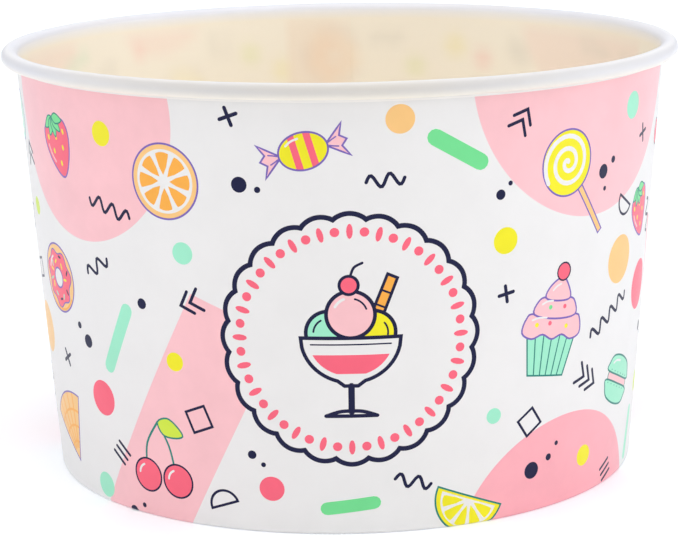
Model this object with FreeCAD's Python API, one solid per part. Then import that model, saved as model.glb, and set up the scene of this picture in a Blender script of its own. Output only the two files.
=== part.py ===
"""Paper dessert cup: a wide, shallow, tapered board cup with a rolled rim, standing on its folded foot.

Two physical pieces, both of board:
  side_wall  one fan-shaped blank, rolled into a cone and lapped at the back, with its top edge
             curled outward into a tight roll and its bottom edge folded inward and up into a hem
  base_disc  one round disc with a turned-down skirt, gripped between the wall and the hem

Frame: millimetres, +Z up, origin at the centre of the foot ring, on the surface the cup stands on.
The cup's printed front faces -Y, and the lapped side seam is at the back, near +Y.
"""

import FreeCAD, Part
import math
import os

os.makedirs("parts", exist_ok=True)

V = FreeCAD.Vector

# ---- driving dimensions, millimetres -------------------------------------------------------
RIM_OUTER_R = 48.0  # outside of the rolled rim
HEIGHT = 60.4  # foot to the crown of the roll
TAPER = 0.0727  # radius gained for each unit of height
T_WALL = 0.36  # coated board of the side wall
T_BASE = 0.30  # coated board of the base disc

ROLL_R = 1.21  # outside radius of the roll's first half turn
ROLL_GAP = 0.08  # air left between the turns of the roll
ROLL_END_DEG = 462.0  # where the board's top edge ends inside the roll

FOOT_CORNER_R = 0.44  # outside radius of the two bends of the foot
CREASE_R = 0.06  # inside radius of the crease above the foot
HEM_TOP = 6.30  # height of the hem's cut edge

SKIRT_BOTTOM = 0.62  # height of the skirt's cut edge, just above the crease
FLOOR_TOP = 7.20  # height of the cup's inside floor
SKIRT_BEND_R = 0.55  # outside radius of the bend between disc and skirt

LAP_WIDTH = 10.0  # width of the lapped seam at half height
LAP_STEP = 0.30  # thickness the outer lap adds after it is pressed
LAP_RAMP_DEG = 2.6  # turn over which the board climbs onto the inner lap
LAP_INNER_EDGE_DEG = 87.6  # direction of the inner lap's cut edge, from +X towards +Y
LAP_Z0 = 0.95  # the lap is pressed flush into the foot below this
LAP_Z1 = 58.15  # and into the roll above this

# ---- directions of the wall in the r-z half plane ----------------------------------------
ALPHA = math.atan(TAPER)
UX, UZ = math.sin(ALPHA), math.cos(ALPHA)  # up along the wall
NX, NZ = math.cos(ALPHA), -math.sin(ALPHA)  # outward, square to the wall

RHO1 = ROLL_R - T_WALL / 2  # the board's middle, first half turn
RHO2 = RHO1 - (T_WALL + ROLL_GAP) / 2  # second half turn
RHO3 = RHO1 - (T_WALL + ROLL_GAP)  # inside, after the full turn
C1 = (RIM_OUTER_R - ROLL_R, HEIGHT - ROLL_R)
C2 = (C1[0] + (RHO1 - RHO2) * NX, C1[1] + (RHO1 - RHO2) * NZ)
C3 = C1

# a point of the wall's outside face, beside the roll's centre
W0 = (C1[0] - (RHO1 - T_WALL / 2) * NX, C1[1] - (RHO1 - T_WALL / 2) * NZ)


def wall_r(z, depth=0.0):
    """Radius, at height z, of the cone that lies depth millimetres inside the wall's outside face."""
    return W0[0] + (z - W0[1]) * TAPER - depth / math.cos(ALPHA)


def on_wall(z, depth=0.0):
    return (wall_r(z, depth), z)


def vec(p):
    return V(p[0], 0, p[1])


def roll_point(centre, rho, phi_deg):
    """A point of the roll. phi 0 is where the wall meets it, 90 the crown, 180 the outside."""
    a = math.radians(phi_deg)
    dx = -math.cos(a) * NX + math.sin(a) * UX
    dz = -math.cos(a) * NZ + math.sin(a) * UZ
    return (centre[0] + rho * dx, centre[1] + rho * dz)


def line(a, b):
    return Part.LineSegment(vec(a), vec(b)).toShape()


def arc(a, m, b):
    return Part.Arc(vec(a), vec(m), vec(b)).toShape()


def roll_arc(centre, rho, f0, f1):
    return arc(
        roll_point(centre, rho, f0),
        roll_point(centre, rho, (f0 + f1) / 2),
        roll_point(centre, rho, f1),
    )


def fillet(a, corner, b, radius):
    """End points and middle of the arc of that radius tangent to corner-a and corner-b."""
    ax, az = a[0] - corner[0], a[1] - corner[1]
    bx, bz = b[0] - corner[0], b[1] - corner[1]
    la, lb = math.hypot(ax, az), math.hypot(bx, bz)
    ax, az, bx, bz = ax / la, az / la, bx / lb, bz / lb
    half = math.acos(max(-1.0, min(1.0, ax * bx + az * bz))) / 2
    back = radius / math.tan(half)
    mx, mz = ax + bx, az + bz
    lm = math.hypot(mx, mz)
    reach = radius / math.sin(half)
    centre = (corner[0] + mx / lm * reach, corner[1] + mz / lm * reach)
    p = (corner[0] + ax * back, corner[1] + az * back)
    q = (corner[0] + bx * back, corner[1] + bz * back)
    m = (centre[0] - mx / lm * radius, centre[1] - mz / lm * radius)
    return p, m, q


def face_of(edges):
    wire = Part.Wire(Part.__sortEdges__(edges))
    if not wire.isClosed():
        raise RuntimeError("section is not closed")
    return Part.Face(wire)


# ---- side wall ------------------------------------------------------------------------------
D_SKIRT = T_WALL  # depth of the skirt's outside face
D_HEM = T_WALL + T_BASE  # depth of the hem's outside face
D_IN = 2 * T_WALL + T_BASE  # depth of the hem's inside face


def wall_section():
    h = T_WALL / 2
    # the foot: the outside face turns under, runs level on the table, and turns up into the hem
    o_corner, i_corner = on_wall(0.0, 0.0), on_wall(0.0, D_IN)
    o_p, o_m, o_q = fillet(on_wall(5.0, 0.0), o_corner, i_corner, FOOT_CORNER_R)
    i_p, i_m, i_q = fillet(o_corner, i_corner, on_wall(5.0, D_IN), FOOT_CORNER_R)
    # the crease between wall and hem, one board's thickness above the table
    co, ci = on_wall(T_WALL, T_WALL), on_wall(T_WALL, D_HEM)
    a_p, a_m, a_q = fillet(on_wall(5.0, T_WALL), co, ci, CREASE_R)
    b_p, b_m, b_q = fillet(co, ci, on_wall(5.0, D_HEM), CREASE_R)
    # the hem's cut edge, square to the board
    hem_in = on_wall(HEM_TOP, D_IN)
    hem_out = (hem_in[0] + T_WALL * NX, hem_in[1] + T_WALL * NZ)
    outer0 = roll_point(C1, RHO1 - h, 0)  # the wall's outside face meets the roll
    inner0 = roll_point(C1, RHO1 + h, 0)  # the wall's inside face meets the roll
    edges = [
        line(o_p, outer0),
        arc(o_p, o_m, o_q),
        line(o_q, i_p),
        arc(i_p, i_m, i_q),
        line(i_q, hem_in),
        line(hem_in, hem_out),
        line(hem_out, b_q),
        arc(b_p, b_m, b_q),
        line(a_q, b_p),
        arc(a_p, a_m, a_q),
        line(a_p, inner0),
        # the roll, outer side of the board
        roll_arc(C1, RHO1 + h, 0, 180),
        roll_arc(C2, RHO2 + h, 180, 360),
        roll_arc(C3, RHO3 + h, 360, ROLL_END_DEG),
        line(
            roll_point(C3, RHO3 + h, ROLL_END_DEG),
            roll_point(C3, RHO3 - h, ROLL_END_DEG),
        ),
        # and back, inner side of the board
        roll_arc(C3, RHO3 - h, 360, ROLL_END_DEG),
        roll_arc(C2, RHO2 - h, 180, 360),
        roll_arc(C1, RHO1 - h, 0, 180),
    ]
    return face_of(edges)


def cone_sheet(z0, z1, d0, d1, lo_deg, hi_deg):
    """A piece of board that follows the wall: between heights z0 and z1, depths d0 and d1, and two directions."""
    pts = [on_wall(z0, d0), on_wall(z1, d0), on_wall(z1, d1), on_wall(z0, d1)]
    face = face_of([line(pts[i], pts[(i + 1) % 4]) for i in range(4)])
    face.rotate(V(0, 0, 0), V(0, 0, 1), lo_deg)
    return face.revolve(V(0, 0, 0), V(0, 0, 1), hi_deg - lo_deg)


def ramp_sheet(z0, z1, d_zero, d_full, back, lo_deg, hi_deg):
    """A wedge that follows the wall. It starts with no thickness at lo_deg, on the cone at depth d_zero,
    and reaches depth d_full at hi_deg. back is the depth of its other face, on the solid side."""

    def ring_point(z, d, deg):
        a = math.radians(deg)
        r = wall_r(z, d)
        return V(r * math.cos(a), r * math.sin(a), z)

    steps = 4
    wires = []
    for z in (z0, z1):
        front = []
        for i in range(steps + 1):
            f = i / steps
            s = f * f * (3 - 2 * f)
            front.append(
                ring_point(z, d_zero + (d_full - d_zero) * s, lo_deg + (hi_deg - lo_deg) * f)
            )
        rear = [
            ring_point(z, back, lo_deg + (hi_deg - lo_deg) * i / steps)
            for i in range(steps, -1, -1)
        ]
        pts = front + rear
        wires.append(Part.makePolygon(pts + [pts[0]]))
    return Part.makeLoft(wires, True, True)


side_wall = wall_section().revolve(V(0, 0, 0), V(0, 0, 1), 360)

mid_r = wall_r(HEIGHT / 2)
LAP_DEG = math.degrees(LAP_WIDTH / mid_r)
LAP_OUTER_EDGE_DEG = LAP_INNER_EDGE_DEG + LAP_DEG
ramp0 = LAP_INNER_EDGE_DEG - LAP_RAMP_DEG

# outer lap on the outside of the wall, and its ramp where the board climbs onto the inner lap
outer_lap = cone_sheet(
    LAP_Z0, LAP_Z1, T_WALL / 2, -LAP_STEP, LAP_INNER_EDGE_DEG, LAP_OUTER_EDGE_DEG
)
outer_ramp = ramp_sheet(
    LAP_Z0, LAP_Z1, 0.0, -LAP_STEP, T_WALL / 2, ramp0, LAP_INNER_EDGE_DEG
)
# the same lap after the fold, on the hem's side that faces the axis
hem_lap = cone_sheet(
    LAP_Z0,
    HEM_TOP - 0.1,
    D_IN - T_WALL / 2,
    D_IN + LAP_STEP,
    LAP_INNER_EDGE_DEG,
    LAP_OUTER_EDGE_DEG,
)
# on the inside the board steps back behind the inner lap's cut edge
groove = ramp_sheet(
    FLOOR_TOP + 0.02,
    LAP_Z1,
    T_WALL,
    T_WALL - LAP_STEP,
    T_WALL + 0.5,
    ramp0,
    LAP_INNER_EDGE_DEG,
)

side_wall = side_wall.fuse([outer_lap, outer_ramp, hem_lap]).cut(groove)
side_wall = side_wall.removeSplitter()


# ---- base disc ------------------------------------------------------------------------------
def disc_section():
    top, low = FLOOR_TOP, FLOOR_TOP - T_BASE
    # skirt: its outside face lies on the wall's inside face, its inside face on the hem
    s_out0, s_in0 = on_wall(SKIRT_BOTTOM, D_SKIRT), on_wall(SKIRT_BOTTOM, D_HEM)
    corner_out, corner_in = on_wall(top, D_SKIRT), on_wall(low, D_HEM)
    axis_top, axis_low = (0.0, top), (0.0, low)
    p, m, q = fillet(s_out0, corner_out, (0.0, top), SKIRT_BEND_R)
    p2, m2, q2 = fillet(s_in0, corner_in, (0.0, low), SKIRT_BEND_R - T_BASE)
    edges = [
        line(s_out0, p),
        arc(p, m, q),
        line(q, axis_top),
        line(axis_top, axis_low),
        line(axis_low, q2),
        arc(p2, m2, q2),
        line(p2, s_in0),
        line(s_in0, s_out0),
    ]
    return face_of(edges)


base_disc = disc_section().revolve(V(0, 0, 0), V(0, 0, 1), 360)


def one_solid(shape, name):
    solids = shape.Solids
    if len(solids) != 1:
        raise RuntimeError("%s has %d solids" % (name, len(solids)))
    solid = solids[0]
    if solid.Volume < 0:
        solid.reverse()
    if not solid.isValid():
        raise RuntimeError(name + " is not valid")
    return solid


side_wall = one_solid(side_wall, "side_wall")
base_disc = one_solid(base_disc, "base_disc")

for name, shape in (("side_wall", side_wall), ("base_disc", base_disc)):
    shape.exportStep("parts/" + name + ".step")
    b = shape.BoundBox
    print(
        name,
        "volume mm3 %.1f" % shape.Volume,
        "box %.3f %.3f %.3f  %.3f %.3f %.3f" % (b.XMin, b.YMin, b.ZMin, b.XMax, b.YMax, b.ZMax),
        "faces", len(shape.Faces),
    )
print("foot radius %.3f to %.3f" % (wall_r(0, D_IN), wall_r(0)))
print("lap from %.2f to %.2f degrees" % (LAP_INNER_EDGE_DEG, LAP_OUTER_EDGE_DEG))
print("inside floor radius %.3f, mouth radius %.3f" % (wall_r(FLOOR_TOP, T_WALL), wall_r(W0[1], T_WALL)))
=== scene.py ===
"""Looks of the paper dessert cup.

The wall is one closed mesh. Its two sides follow the board's real course from the hem's cut edge, round the
foot, up the wall and into the roll. The printed side is triangulated so that every printed shape has its own
faces, and each ink is a material of its own. Lengths in the geometry code are millimetres, heights from the foot.
"""

import bpy
import math
import numpy as np
from mathutils import Matrix, Vector
from mathutils.geometry import delaunay_2d_cdt


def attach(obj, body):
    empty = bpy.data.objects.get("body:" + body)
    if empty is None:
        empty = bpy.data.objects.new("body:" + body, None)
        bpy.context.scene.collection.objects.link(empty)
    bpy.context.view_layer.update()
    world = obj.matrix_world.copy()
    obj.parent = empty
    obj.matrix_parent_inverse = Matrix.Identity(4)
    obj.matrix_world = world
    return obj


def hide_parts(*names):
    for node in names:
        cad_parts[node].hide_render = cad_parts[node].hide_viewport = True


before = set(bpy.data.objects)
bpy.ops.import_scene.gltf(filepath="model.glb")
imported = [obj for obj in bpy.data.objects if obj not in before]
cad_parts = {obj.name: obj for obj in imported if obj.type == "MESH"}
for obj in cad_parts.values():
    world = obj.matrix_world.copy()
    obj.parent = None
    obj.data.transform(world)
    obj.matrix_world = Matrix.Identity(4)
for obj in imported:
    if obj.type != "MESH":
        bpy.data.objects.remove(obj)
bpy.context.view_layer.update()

MM = 0.001

# ---- the section, as the frame has it ---------------------------------------------------------
RIM_OUTER_R, HEIGHT, TAPER = 48.0, 60.4, 0.0727
T_WALL, T_BASE = 0.36, 0.30
ROLL_R, ROLL_GAP, ROLL_END_DEG = 1.21, 0.08, 462.0
FOOT_CORNER_R, CREASE_R, HEM_TOP = 0.44, 0.06, 6.30
SKIRT_BOTTOM, FLOOR_TOP, SKIRT_BEND_R = 0.62, 7.20, 0.55
LAP_WIDTH, LAP_STEP, LAP_RAMP_DEG, LAP_IN_DEG = 10.0, 0.30, 2.6, 87.6
LAP_Z0, LAP_Z1 = 0.95, 58.15

ALPHA = math.atan(TAPER)
UX, UZ = math.sin(ALPHA), math.cos(ALPHA)
NX, NZ = math.cos(ALPHA), -math.sin(ALPHA)
HALF = T_WALL / 2
RHO1 = ROLL_R - HALF
RHO2 = RHO1 - (T_WALL + ROLL_GAP) / 2
RHO3 = RHO1 - (T_WALL + ROLL_GAP)
C1 = (RIM_OUTER_R - ROLL_R, HEIGHT - ROLL_R)
C2 = (C1[0] + (RHO1 - RHO2) * NX, C1[1] + (RHO1 - RHO2) * NZ)
W0 = (C1[0] - (RHO1 - HALF) * NX, C1[1] - (RHO1 - HALF) * NZ)
D_HEM = T_WALL + T_BASE
D_IN = 2 * T_WALL + T_BASE


def wall_r(z, depth=0.0):
    return W0[0] + (z - W0[1]) * TAPER - depth / math.cos(ALPHA)


def on_wall(z, depth=0.0):
    return (wall_r(z, depth), z)


LAP_OUT_DEG = LAP_IN_DEG + math.degrees(LAP_WIDTH / wall_r(HEIGHT / 2))


# ---- courses: chains of lines and arcs, measured by their own length ---------------------------
class Course:
    def __init__(self, start):
        self.segs, self.at, self.total = [], start, 0.0
        self.marks = {}

    def mark(self, name):
        self.marks[name] = self.total

    def line(self, b):
        a = self.at
        length = math.hypot(b[0] - a[0], b[1] - a[1])
        self.segs.append(("line", self.total, length, a, ((b[0] - a[0]) / length, (b[1] - a[1]) / length)))
        self.total += length
        self.at = b

    def arc(self, centre, a0, sweep, rho):
        self.segs.append(("arc", self.total, abs(sweep) * rho, centre, (a0, sweep, rho)))
        self.total += abs(sweep) * rho
        a1 = a0 + sweep
        self.at = (centre[0] + rho * math.cos(a1), centre[1] + rho * math.sin(a1))

    def bend(self, corner, far, radius):
        """On in a line towards corner, round a bend of that radius, and off in the direction of far."""
        a = self.at
        ax, az = a[0] - corner[0], a[1] - corner[1]
        bx, bz = far[0] - corner[0], far[1] - corner[1]
        la, lb = math.hypot(ax, az), math.hypot(bx, bz)
        ax, az, bx, bz = ax / la, az / la, bx / lb, bz / lb
        half = math.acos(max(-1.0, min(1.0, ax * bx + az * bz))) / 2
        back, reach = radius / math.tan(half), radius / math.sin(half)
        mx, mz = ax + bx, az + bz
        lm = math.hypot(mx, mz)
        c = (corner[0] + mx / lm * reach, corner[1] + mz / lm * reach)
        p = (corner[0] + ax * back, corner[1] + az * back)
        q = (corner[0] + bx * back, corner[1] + bz * back)
        self.line(p)
        a0 = math.atan2(p[1] - c[1], p[0] - c[0])
        a1 = math.atan2(q[1] - c[1], q[0] - c[0])
        sweep = (a1 - a0 + math.pi) % (2 * math.pi) - math.pi
        self.arc(c, a0, sweep, radius)

    def roll(self, centre, rho, f0, f1):
        a0 = math.pi - ALPHA - math.radians(f0)
        self.arc(centre, a0, -math.radians(f1 - f0), rho)

    def at_length(self, s):
        """r, z and the unit tangent at each length s."""
        s = np.asarray(s, float)
        r, z, tr, tz = (np.zeros(s.shape) for _ in range(4))
        starts = np.array([g[1] for g in self.segs])
        which = np.clip(np.searchsorted(starts, s, side="right") - 1, 0, len(self.segs) - 1)
        for i, (kind, s0, length, p, q) in enumerate(self.segs):
            m = which == i
            if not m.any():
                continue
            d = s[m] - s0
            if kind == "line":
                r[m], z[m] = p[0] + q[0] * d, p[1] + q[1] * d
                tr[m], tz[m] = q
            else:
                a0, sweep, rho = q
                sign = 1.0 if sweep > 0 else -1.0
                a = a0 + sign * d / rho
                r[m], z[m] = p[0] + rho * np.cos(a), p[1] + rho * np.sin(a)
                tr[m], tz[m] = -sign * np.sin(a), sign * np.cos(a)
        return r, z, tr, tz


# printed side: hem, foot, wall, then the hollow side of the roll
hem_in = on_wall(HEM_TOP, D_IN)
hem_out = (hem_in[0] + T_WALL * NX, hem_in[1] + T_WALL * NZ)
side_a = Course(hem_in)
side_a.bend(on_wall(0.0, D_IN), on_wall(0.0, 0.0), FOOT_CORNER_R)
side_a.mark("flat0")
side_a.bend(on_wall(0.0, 0.0), on_wall(5.0, 0.0), FOOT_CORNER_R)
side_a.mark("wall0")
side_a.line(W0)
side_a.mark("wall1")
side_a.roll(C1, RHO1 - HALF, 0, 180)
side_a.roll(C2, RHO2 - HALF, 180, 360)
side_a.roll(C1, RHO3 - HALF, 360, ROLL_END_DEG)
side_a.mark("end")
A0 = side_a.marks["wall0"]  # lengths on this side are counted from the foot of the wall

# food side: hem, crease, wall, then the round outside of the roll
inner0 = (C1[0] - (RHO1 + HALF) * NX, C1[1] - (RHO1 + HALF) * NZ)
side_b = Course(hem_out)
side_b.bend(on_wall(T_WALL, D_HEM), on_wall(T_WALL, T_WALL), CREASE_R)
side_b.bend(on_wall(T_WALL, T_WALL), on_wall(5.0, T_WALL), CREASE_R)
side_b.mark("wall0")
side_b.line(inner0)
side_b.mark("roll0")
side_b.roll(C1, RHO1 + HALF, 0, 180)
side_b.mark("roll1")
side_b.roll(C2, RHO2 + HALF, 180, 360)
side_b.mark("roll2")
side_b.roll(C1, RHO3 + HALF, 360, ROLL_END_DEG)
side_b.mark("end")


def smooth(x):
    x = np.clip(x, 0.0, 1.0)
    return x * x * (3 - 2 * x)


def length_at_z(course, z, lo, hi):
    """The length, between two marks on a straight wall, at which the course is at height z."""
    z0 = float(course.at_length(np.array([lo]))[1][0])
    z1 = float(course.at_length(np.array([hi]))[1][0])
    return lo + (hi - lo) * (z - z0) / (z1 - z0)


def wave(deg, parts):
    a = np.radians(deg)
    return sum(h * np.cos(n * a + p) for n, h, p in parts)


WALL_WAVE = ((2, 0.020, 0.4), (3, 0.014, 2.1), (5, 0.010, 4.0), (9, 0.005, 1.0))
ROLL_WAVE = ((4, 0.012, 0.7), (7, 0.010, 3.3), (13, 0.007, 5.1), (29, 0.005, 0.2))

A_END = side_a.marks["end"]
A_HEM = side_a.marks["flat0"]  # the hem and its bend come before this
A_LAP0 = length_at_z(side_a, LAP_Z0, A0, side_a.marks["wall1"])
A_LAP1 = length_at_z(side_a, LAP_Z1, A0, side_a.marks["wall1"])
HEM_L = math.hypot(hem_in[0] - wall_r(LAP_Z0, D_IN), hem_in[1] - LAP_Z0)  # hem's cut edge to the lap's end
B_FLOOR = length_at_z(side_b, FLOOR_TOP + 0.05, side_b.marks["wall0"], side_b.marks["roll0"])
B_LAP1 = length_at_z(side_b, LAP_Z1, side_b.marks["wall0"], side_b.marks["roll0"])

KNURLS = 120  # pressed grooves round the hem
LAP_LEAN = 0.15  # how far the outer cut edge leans back over its step
K_MID = wall_r(HEIGHT / 2)


def lap_share(deg):
    """0 off the lap, 1 on it, counted from the lap's cut edge back round the cup."""
    d = (np.asarray(deg, float) - LAP_OUT_DEG) % 360.0 - 360.0  # -360 to 0
    d = np.where(d <= -360.0 + 1e-9, -360.0, d)
    width = LAP_OUT_DEG - LAP_IN_DEG
    return smooth((d + width + LAP_RAMP_DEG) / LAP_RAMP_DEG)


def lap_rise(deg, s, right):
    """1 where the printed side stands a full step proud on the lap, 0 off it."""
    deg = np.asarray(deg, float)
    lap = np.where(right, 1.0, lap_share(deg))
    lap = np.where((~right) & (np.abs((deg - LAP_OUT_DEG + 180) % 360 - 180) < 1e-4), 0.0, lap)
    on_hem = smooth(s / 0.5) * smooth((HEM_L - s) / 0.4)
    on_wall_ = smooth((s - A_LAP0) / 0.4) * smooth((A_LAP1 - s) / 0.5)
    return lap * (on_hem * (s < HEM_L) + on_wall_ * (s > A0))


def push_a(deg, s, right):
    """How far the printed side stands proud of its course. right marks points that count as just before the cut edge."""
    deg = np.asarray(deg, float)
    body = smooth((s - A_LAP0) / 14.0) * smooth((A_LAP1 - s) / 12.0)
    knurl = -0.055 * (0.5 + 0.5 * np.cos(np.radians(deg * KNURLS))) * smooth((s - 0.35) / 0.5) * smooth((HEM_L - 0.2 - s) / 0.6)
    knurl = np.where(s < HEM_L, knurl, 0.0)
    return LAP_STEP * lap_rise(deg, s, right) + body * wave(deg, WALL_WAVE) + knurl


def push_b(deg, s, before):
    """The same for the food side, towards the axis. before marks points that count as just before the inner cut edge."""
    deg = np.asarray(deg, float)
    d = (deg - LAP_IN_DEG + 180.0) % 360.0 - 180.0
    cut = np.where((d <= 1e-6) & (d > -LAP_RAMP_DEG - 1e-6), smooth((d + LAP_RAMP_DEG) / LAP_RAMP_DEG), 0.0)
    cut = np.where((np.abs(d) < 1e-4) & ~before, 0.0, cut)
    span = smooth((s - B_FLOOR) / 0.05) * smooth((B_LAP1 - s) / 4.0)
    body = smooth((s - side_b.marks["wall0"] - 8.0) / 14.0) * smooth((B_LAP1 - s) / 12.0)
    on_roll = smooth((s - side_b.marks["roll0"]) / 1.0) * smooth((side_b.marks["roll2"] - s) / 0.8)
    near_lap = np.exp(-(((deg - (LAP_IN_DEG + LAP_OUT_DEG) / 2 + 180) % 360 - 180) / 6.5) ** 4)
    rolled = on_roll * (-0.045 + wave(deg, ROLL_WAVE) + 0.045 * near_lap)
    return -0.5 * LAP_STEP * cut * span - body * wave(deg, WALL_WAVE) + np.minimum(rolled, 0.0)


def place(course, side, deg, s, flag):
    """Points of a side, in millimetres: side is 1 for the printed side and -1 for the food side."""
    r, z, tr, tz = course.at_length(s)
    nr, nz = side * tz, -side * tr
    d = push_a(deg, s, flag) if side == 1 else push_b(deg, s, flag)
    r, z = r + nr * d, z + nz * d
    a = np.radians(deg)
    if side == 1:
        # the outer cut edge leans back by LAP_LEAN, and the board's last 1.4 mm is drawn in with it
        before = (LAP_OUT_DEG - np.asarray(deg, float)) * math.pi / 180 * K_MID
        a = a - LAP_LEAN * lap_rise(deg, s, flag) * smooth(1.0 - np.abs(before) / 1.4) / K_MID
    return np.stack([r * np.cos(a), r * np.sin(a), z], -1)


def normals(course, side, deg, s, flag, lo, hi):
    e, f = 0.04, 0.015
    d0 = np.where(flag, deg - e, deg)
    d1 = np.where(flag, deg, deg + e)
    s0, s1 = np.clip(s - f, 0, hi), np.clip(s + f, 0, hi)
    no = np.zeros(np.shape(deg), bool)
    a = place(course, side, d1, s, flag) - place(course, side, d0, s, no)
    b = place(course, side, deg, s1, flag) - place(course, side, deg, s0, flag)
    n = np.cross(a, b)
    _, _, tr, tz = course.at_length(s)
    ang = np.radians(deg)
    base = np.stack([side * tz * np.cos(ang), side * tz * np.sin(ang), -side * tr], -1)
    n /= np.maximum(np.linalg.norm(n, axis=1, keepdims=True), 1e-12)
    n *= np.sign((n * base).sum(1, keepdims=True) + 1e-12)
    return n


# ---- the print: shapes on the flat blank -------------------------------------------------------
K = 43.8  # millimetres to a radian in the plane that is triangulated
SIN = math.sin(ALPHA)
RHO0 = float(side_a.at_length(np.array([A0]))[0][0]) / SIN  # from the cone's apex to the foot of the wall
X_LO, X_HI = math.radians(LAP_OUT_DEG - 360) * K, math.radians(LAP_OUT_DEG) * K
Y_LO, Y_HI = -A0, A_END - A0
PRINT_LO = -(A0 - A_HEM) - 2.1  # the print turns round the foot and ends on the hem
PRINT_HI = length_at_z(side_a, 57.75, A0, side_a.marks["wall1"]) - A0


def srgb(r, g, b):
    def lin(c):
        c /= 255.0
        return c / 12.92 if c <= 0.04045 else ((c + 0.055) / 1.055) ** 2.4

    return (lin(r), lin(g), lin(b))


INKS = {
    "blush": srgb(255, 199, 204),
    "rose": srgb(255, 178, 187),
    "coral": srgb(255, 104, 128),
    "mint": srgb(163, 238, 205),
    "green": srgb(118, 226, 148),
    "yellow": srgb(247, 237, 30),
    "lime": srgb(214, 238, 70),
    "orange": srgb(255, 204, 132),
    "amber": srgb(255, 178, 72),
    "navy": srgb(4, 8, 60),
    "violet": srgb(122, 100, 186),
    "teal": srgb(24, 132, 120),
}
INK_NAMES = list(INKS)
INK_DEPTH = 0.86
shapes = []  # (ink, loops in the triangulated plane)


def to_plane(u0, v0, pts):
    """Flat points, millimetres from the point u0 along the front and v0 up the wall, as points of the plane."""
    pts = np.asarray(pts, float)
    rc = RHO0 + v0
    x, y = pts[:, 0], rc + pts[:, 1]
    rho = np.hypot(x, y)
    theta = math.radians(-90.0) + u0 / K + np.arctan2(x, y) / SIN
    return np.stack([theta * K, rho - RHO0], -1)


def area(p):
    x, y = p[:, 0], p[:, 1]
    return 0.5 * float((x * np.roll(y, -1) - np.roll(x, -1) * y).sum())


def finer(p, step, closed=True):
    out = []
    n = len(p)
    for i in range(n if closed else n - 1):
        a, b = p[i], p[(i + 1) % n]
        k = max(1, int(math.ceil(math.hypot(*(b - a)) / step)))
        for j in range(k):
            out.append(a + (b - a) * j / k)
    if not closed:
        out.append(p[-1])
    return np.array(out)


def circle(x, y, r, ry=None, turn=0.0, n=None):
    ry = r if ry is None else ry
    n = n or int(min(180, max(14, 2 * math.pi * max(r, ry) / (0.34 if max(r, ry) < 6 else 0.6))))
    a = np.arange(n) * 2 * math.pi / n
    px, py = r * np.cos(a), ry * np.sin(a)
    c, s = math.cos(turn), math.sin(turn)
    return np.stack([x + px * c - py * s, y + px * s + py * c], -1)


def arc_points(x, y, r, a0, a1, n=None):
    n = n or max(4, int(abs(a1 - a0) / 360 * 2 * math.pi * r / 0.34) + 2)
    a = np.radians(np.linspace(a0, a1, n))
    return np.stack([x + r * np.cos(a), y + r * np.sin(a)], -1)


def curve(points, closed=False, per=5):
    """Catmull-Rom through the points."""
    p = np.asarray(points, float)
    n = len(p)
    out = []
    for i in range(n if closed else n - 1):
        if closed:
            a, b, c, d = p[(i - 1) % n], p[i], p[(i + 1) % n], p[(i + 2) % n]
        else:
            a, b, c, d = p[max(i - 1, 0)], p[i], p[i + 1], p[min(i + 2, n - 1)]
        for j in range(per):
            t = j / per
            out.append(0.5 * (2 * b + (c - a) * t + (2 * a - 5 * b + 4 * c - d) * t * t + (3 * b - a - 3 * c + d) * t**3))
    if not closed:
        out.append(p[-1])
    return np.array(out)


def ribbon(points, w, closed=False):
    """A stroke of width w along the points, with mitred corners and round ends: its outline, as one or two loops."""
    p = np.asarray(points, float)
    n = len(p)
    if closed:
        prev, nxt = np.roll(p, 1, 0), np.roll(p, -1, 0)
    else:
        prev = np.vstack([2 * p[0] - p[1], p[:-1]])
        nxt = np.vstack([p[1:], 2 * p[-1] - p[-2]])
    d0, d1 = p - prev, nxt - p
    d0 /= np.maximum(np.linalg.norm(d0, axis=1, keepdims=True), 1e-9)
    d1 /= np.maximum(np.linalg.norm(d1, axis=1, keepdims=True), 1e-9)
    n0, n1 = np.stack([-d0[:, 1], d0[:, 0]], -1), np.stack([-d1[:, 1], d1[:, 0]], -1)
    m = n0 + n1
    m /= np.maximum(np.linalg.norm(m, axis=1, keepdims=True), 1e-9)
    k = np.clip(1.0 / np.maximum((m * n0).sum(1), 0.3), 1.0, 2.6)[:, None]
    left, right = p + m * k * w / 2, p - m * k * w / 2
    if closed:
        outer, inner = (left, right) if abs(area(left)) > abs(area(right)) else (right, left)
        return [outer], [inner]
    cap = []
    for centre, d in ((p[-1], d1[-1]), (p[0], -d0[0])):
        a = math.atan2(d[1], d[0])
        angles = a + np.radians([60, 20, -20, -60])
        cap.append(np.stack([centre[0] + w / 2 * np.cos(angles), centre[1] + w / 2 * np.sin(angles)], -1))
    return [np.vstack([left, cap[0], right[::-1], cap[1]])], []


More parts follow.
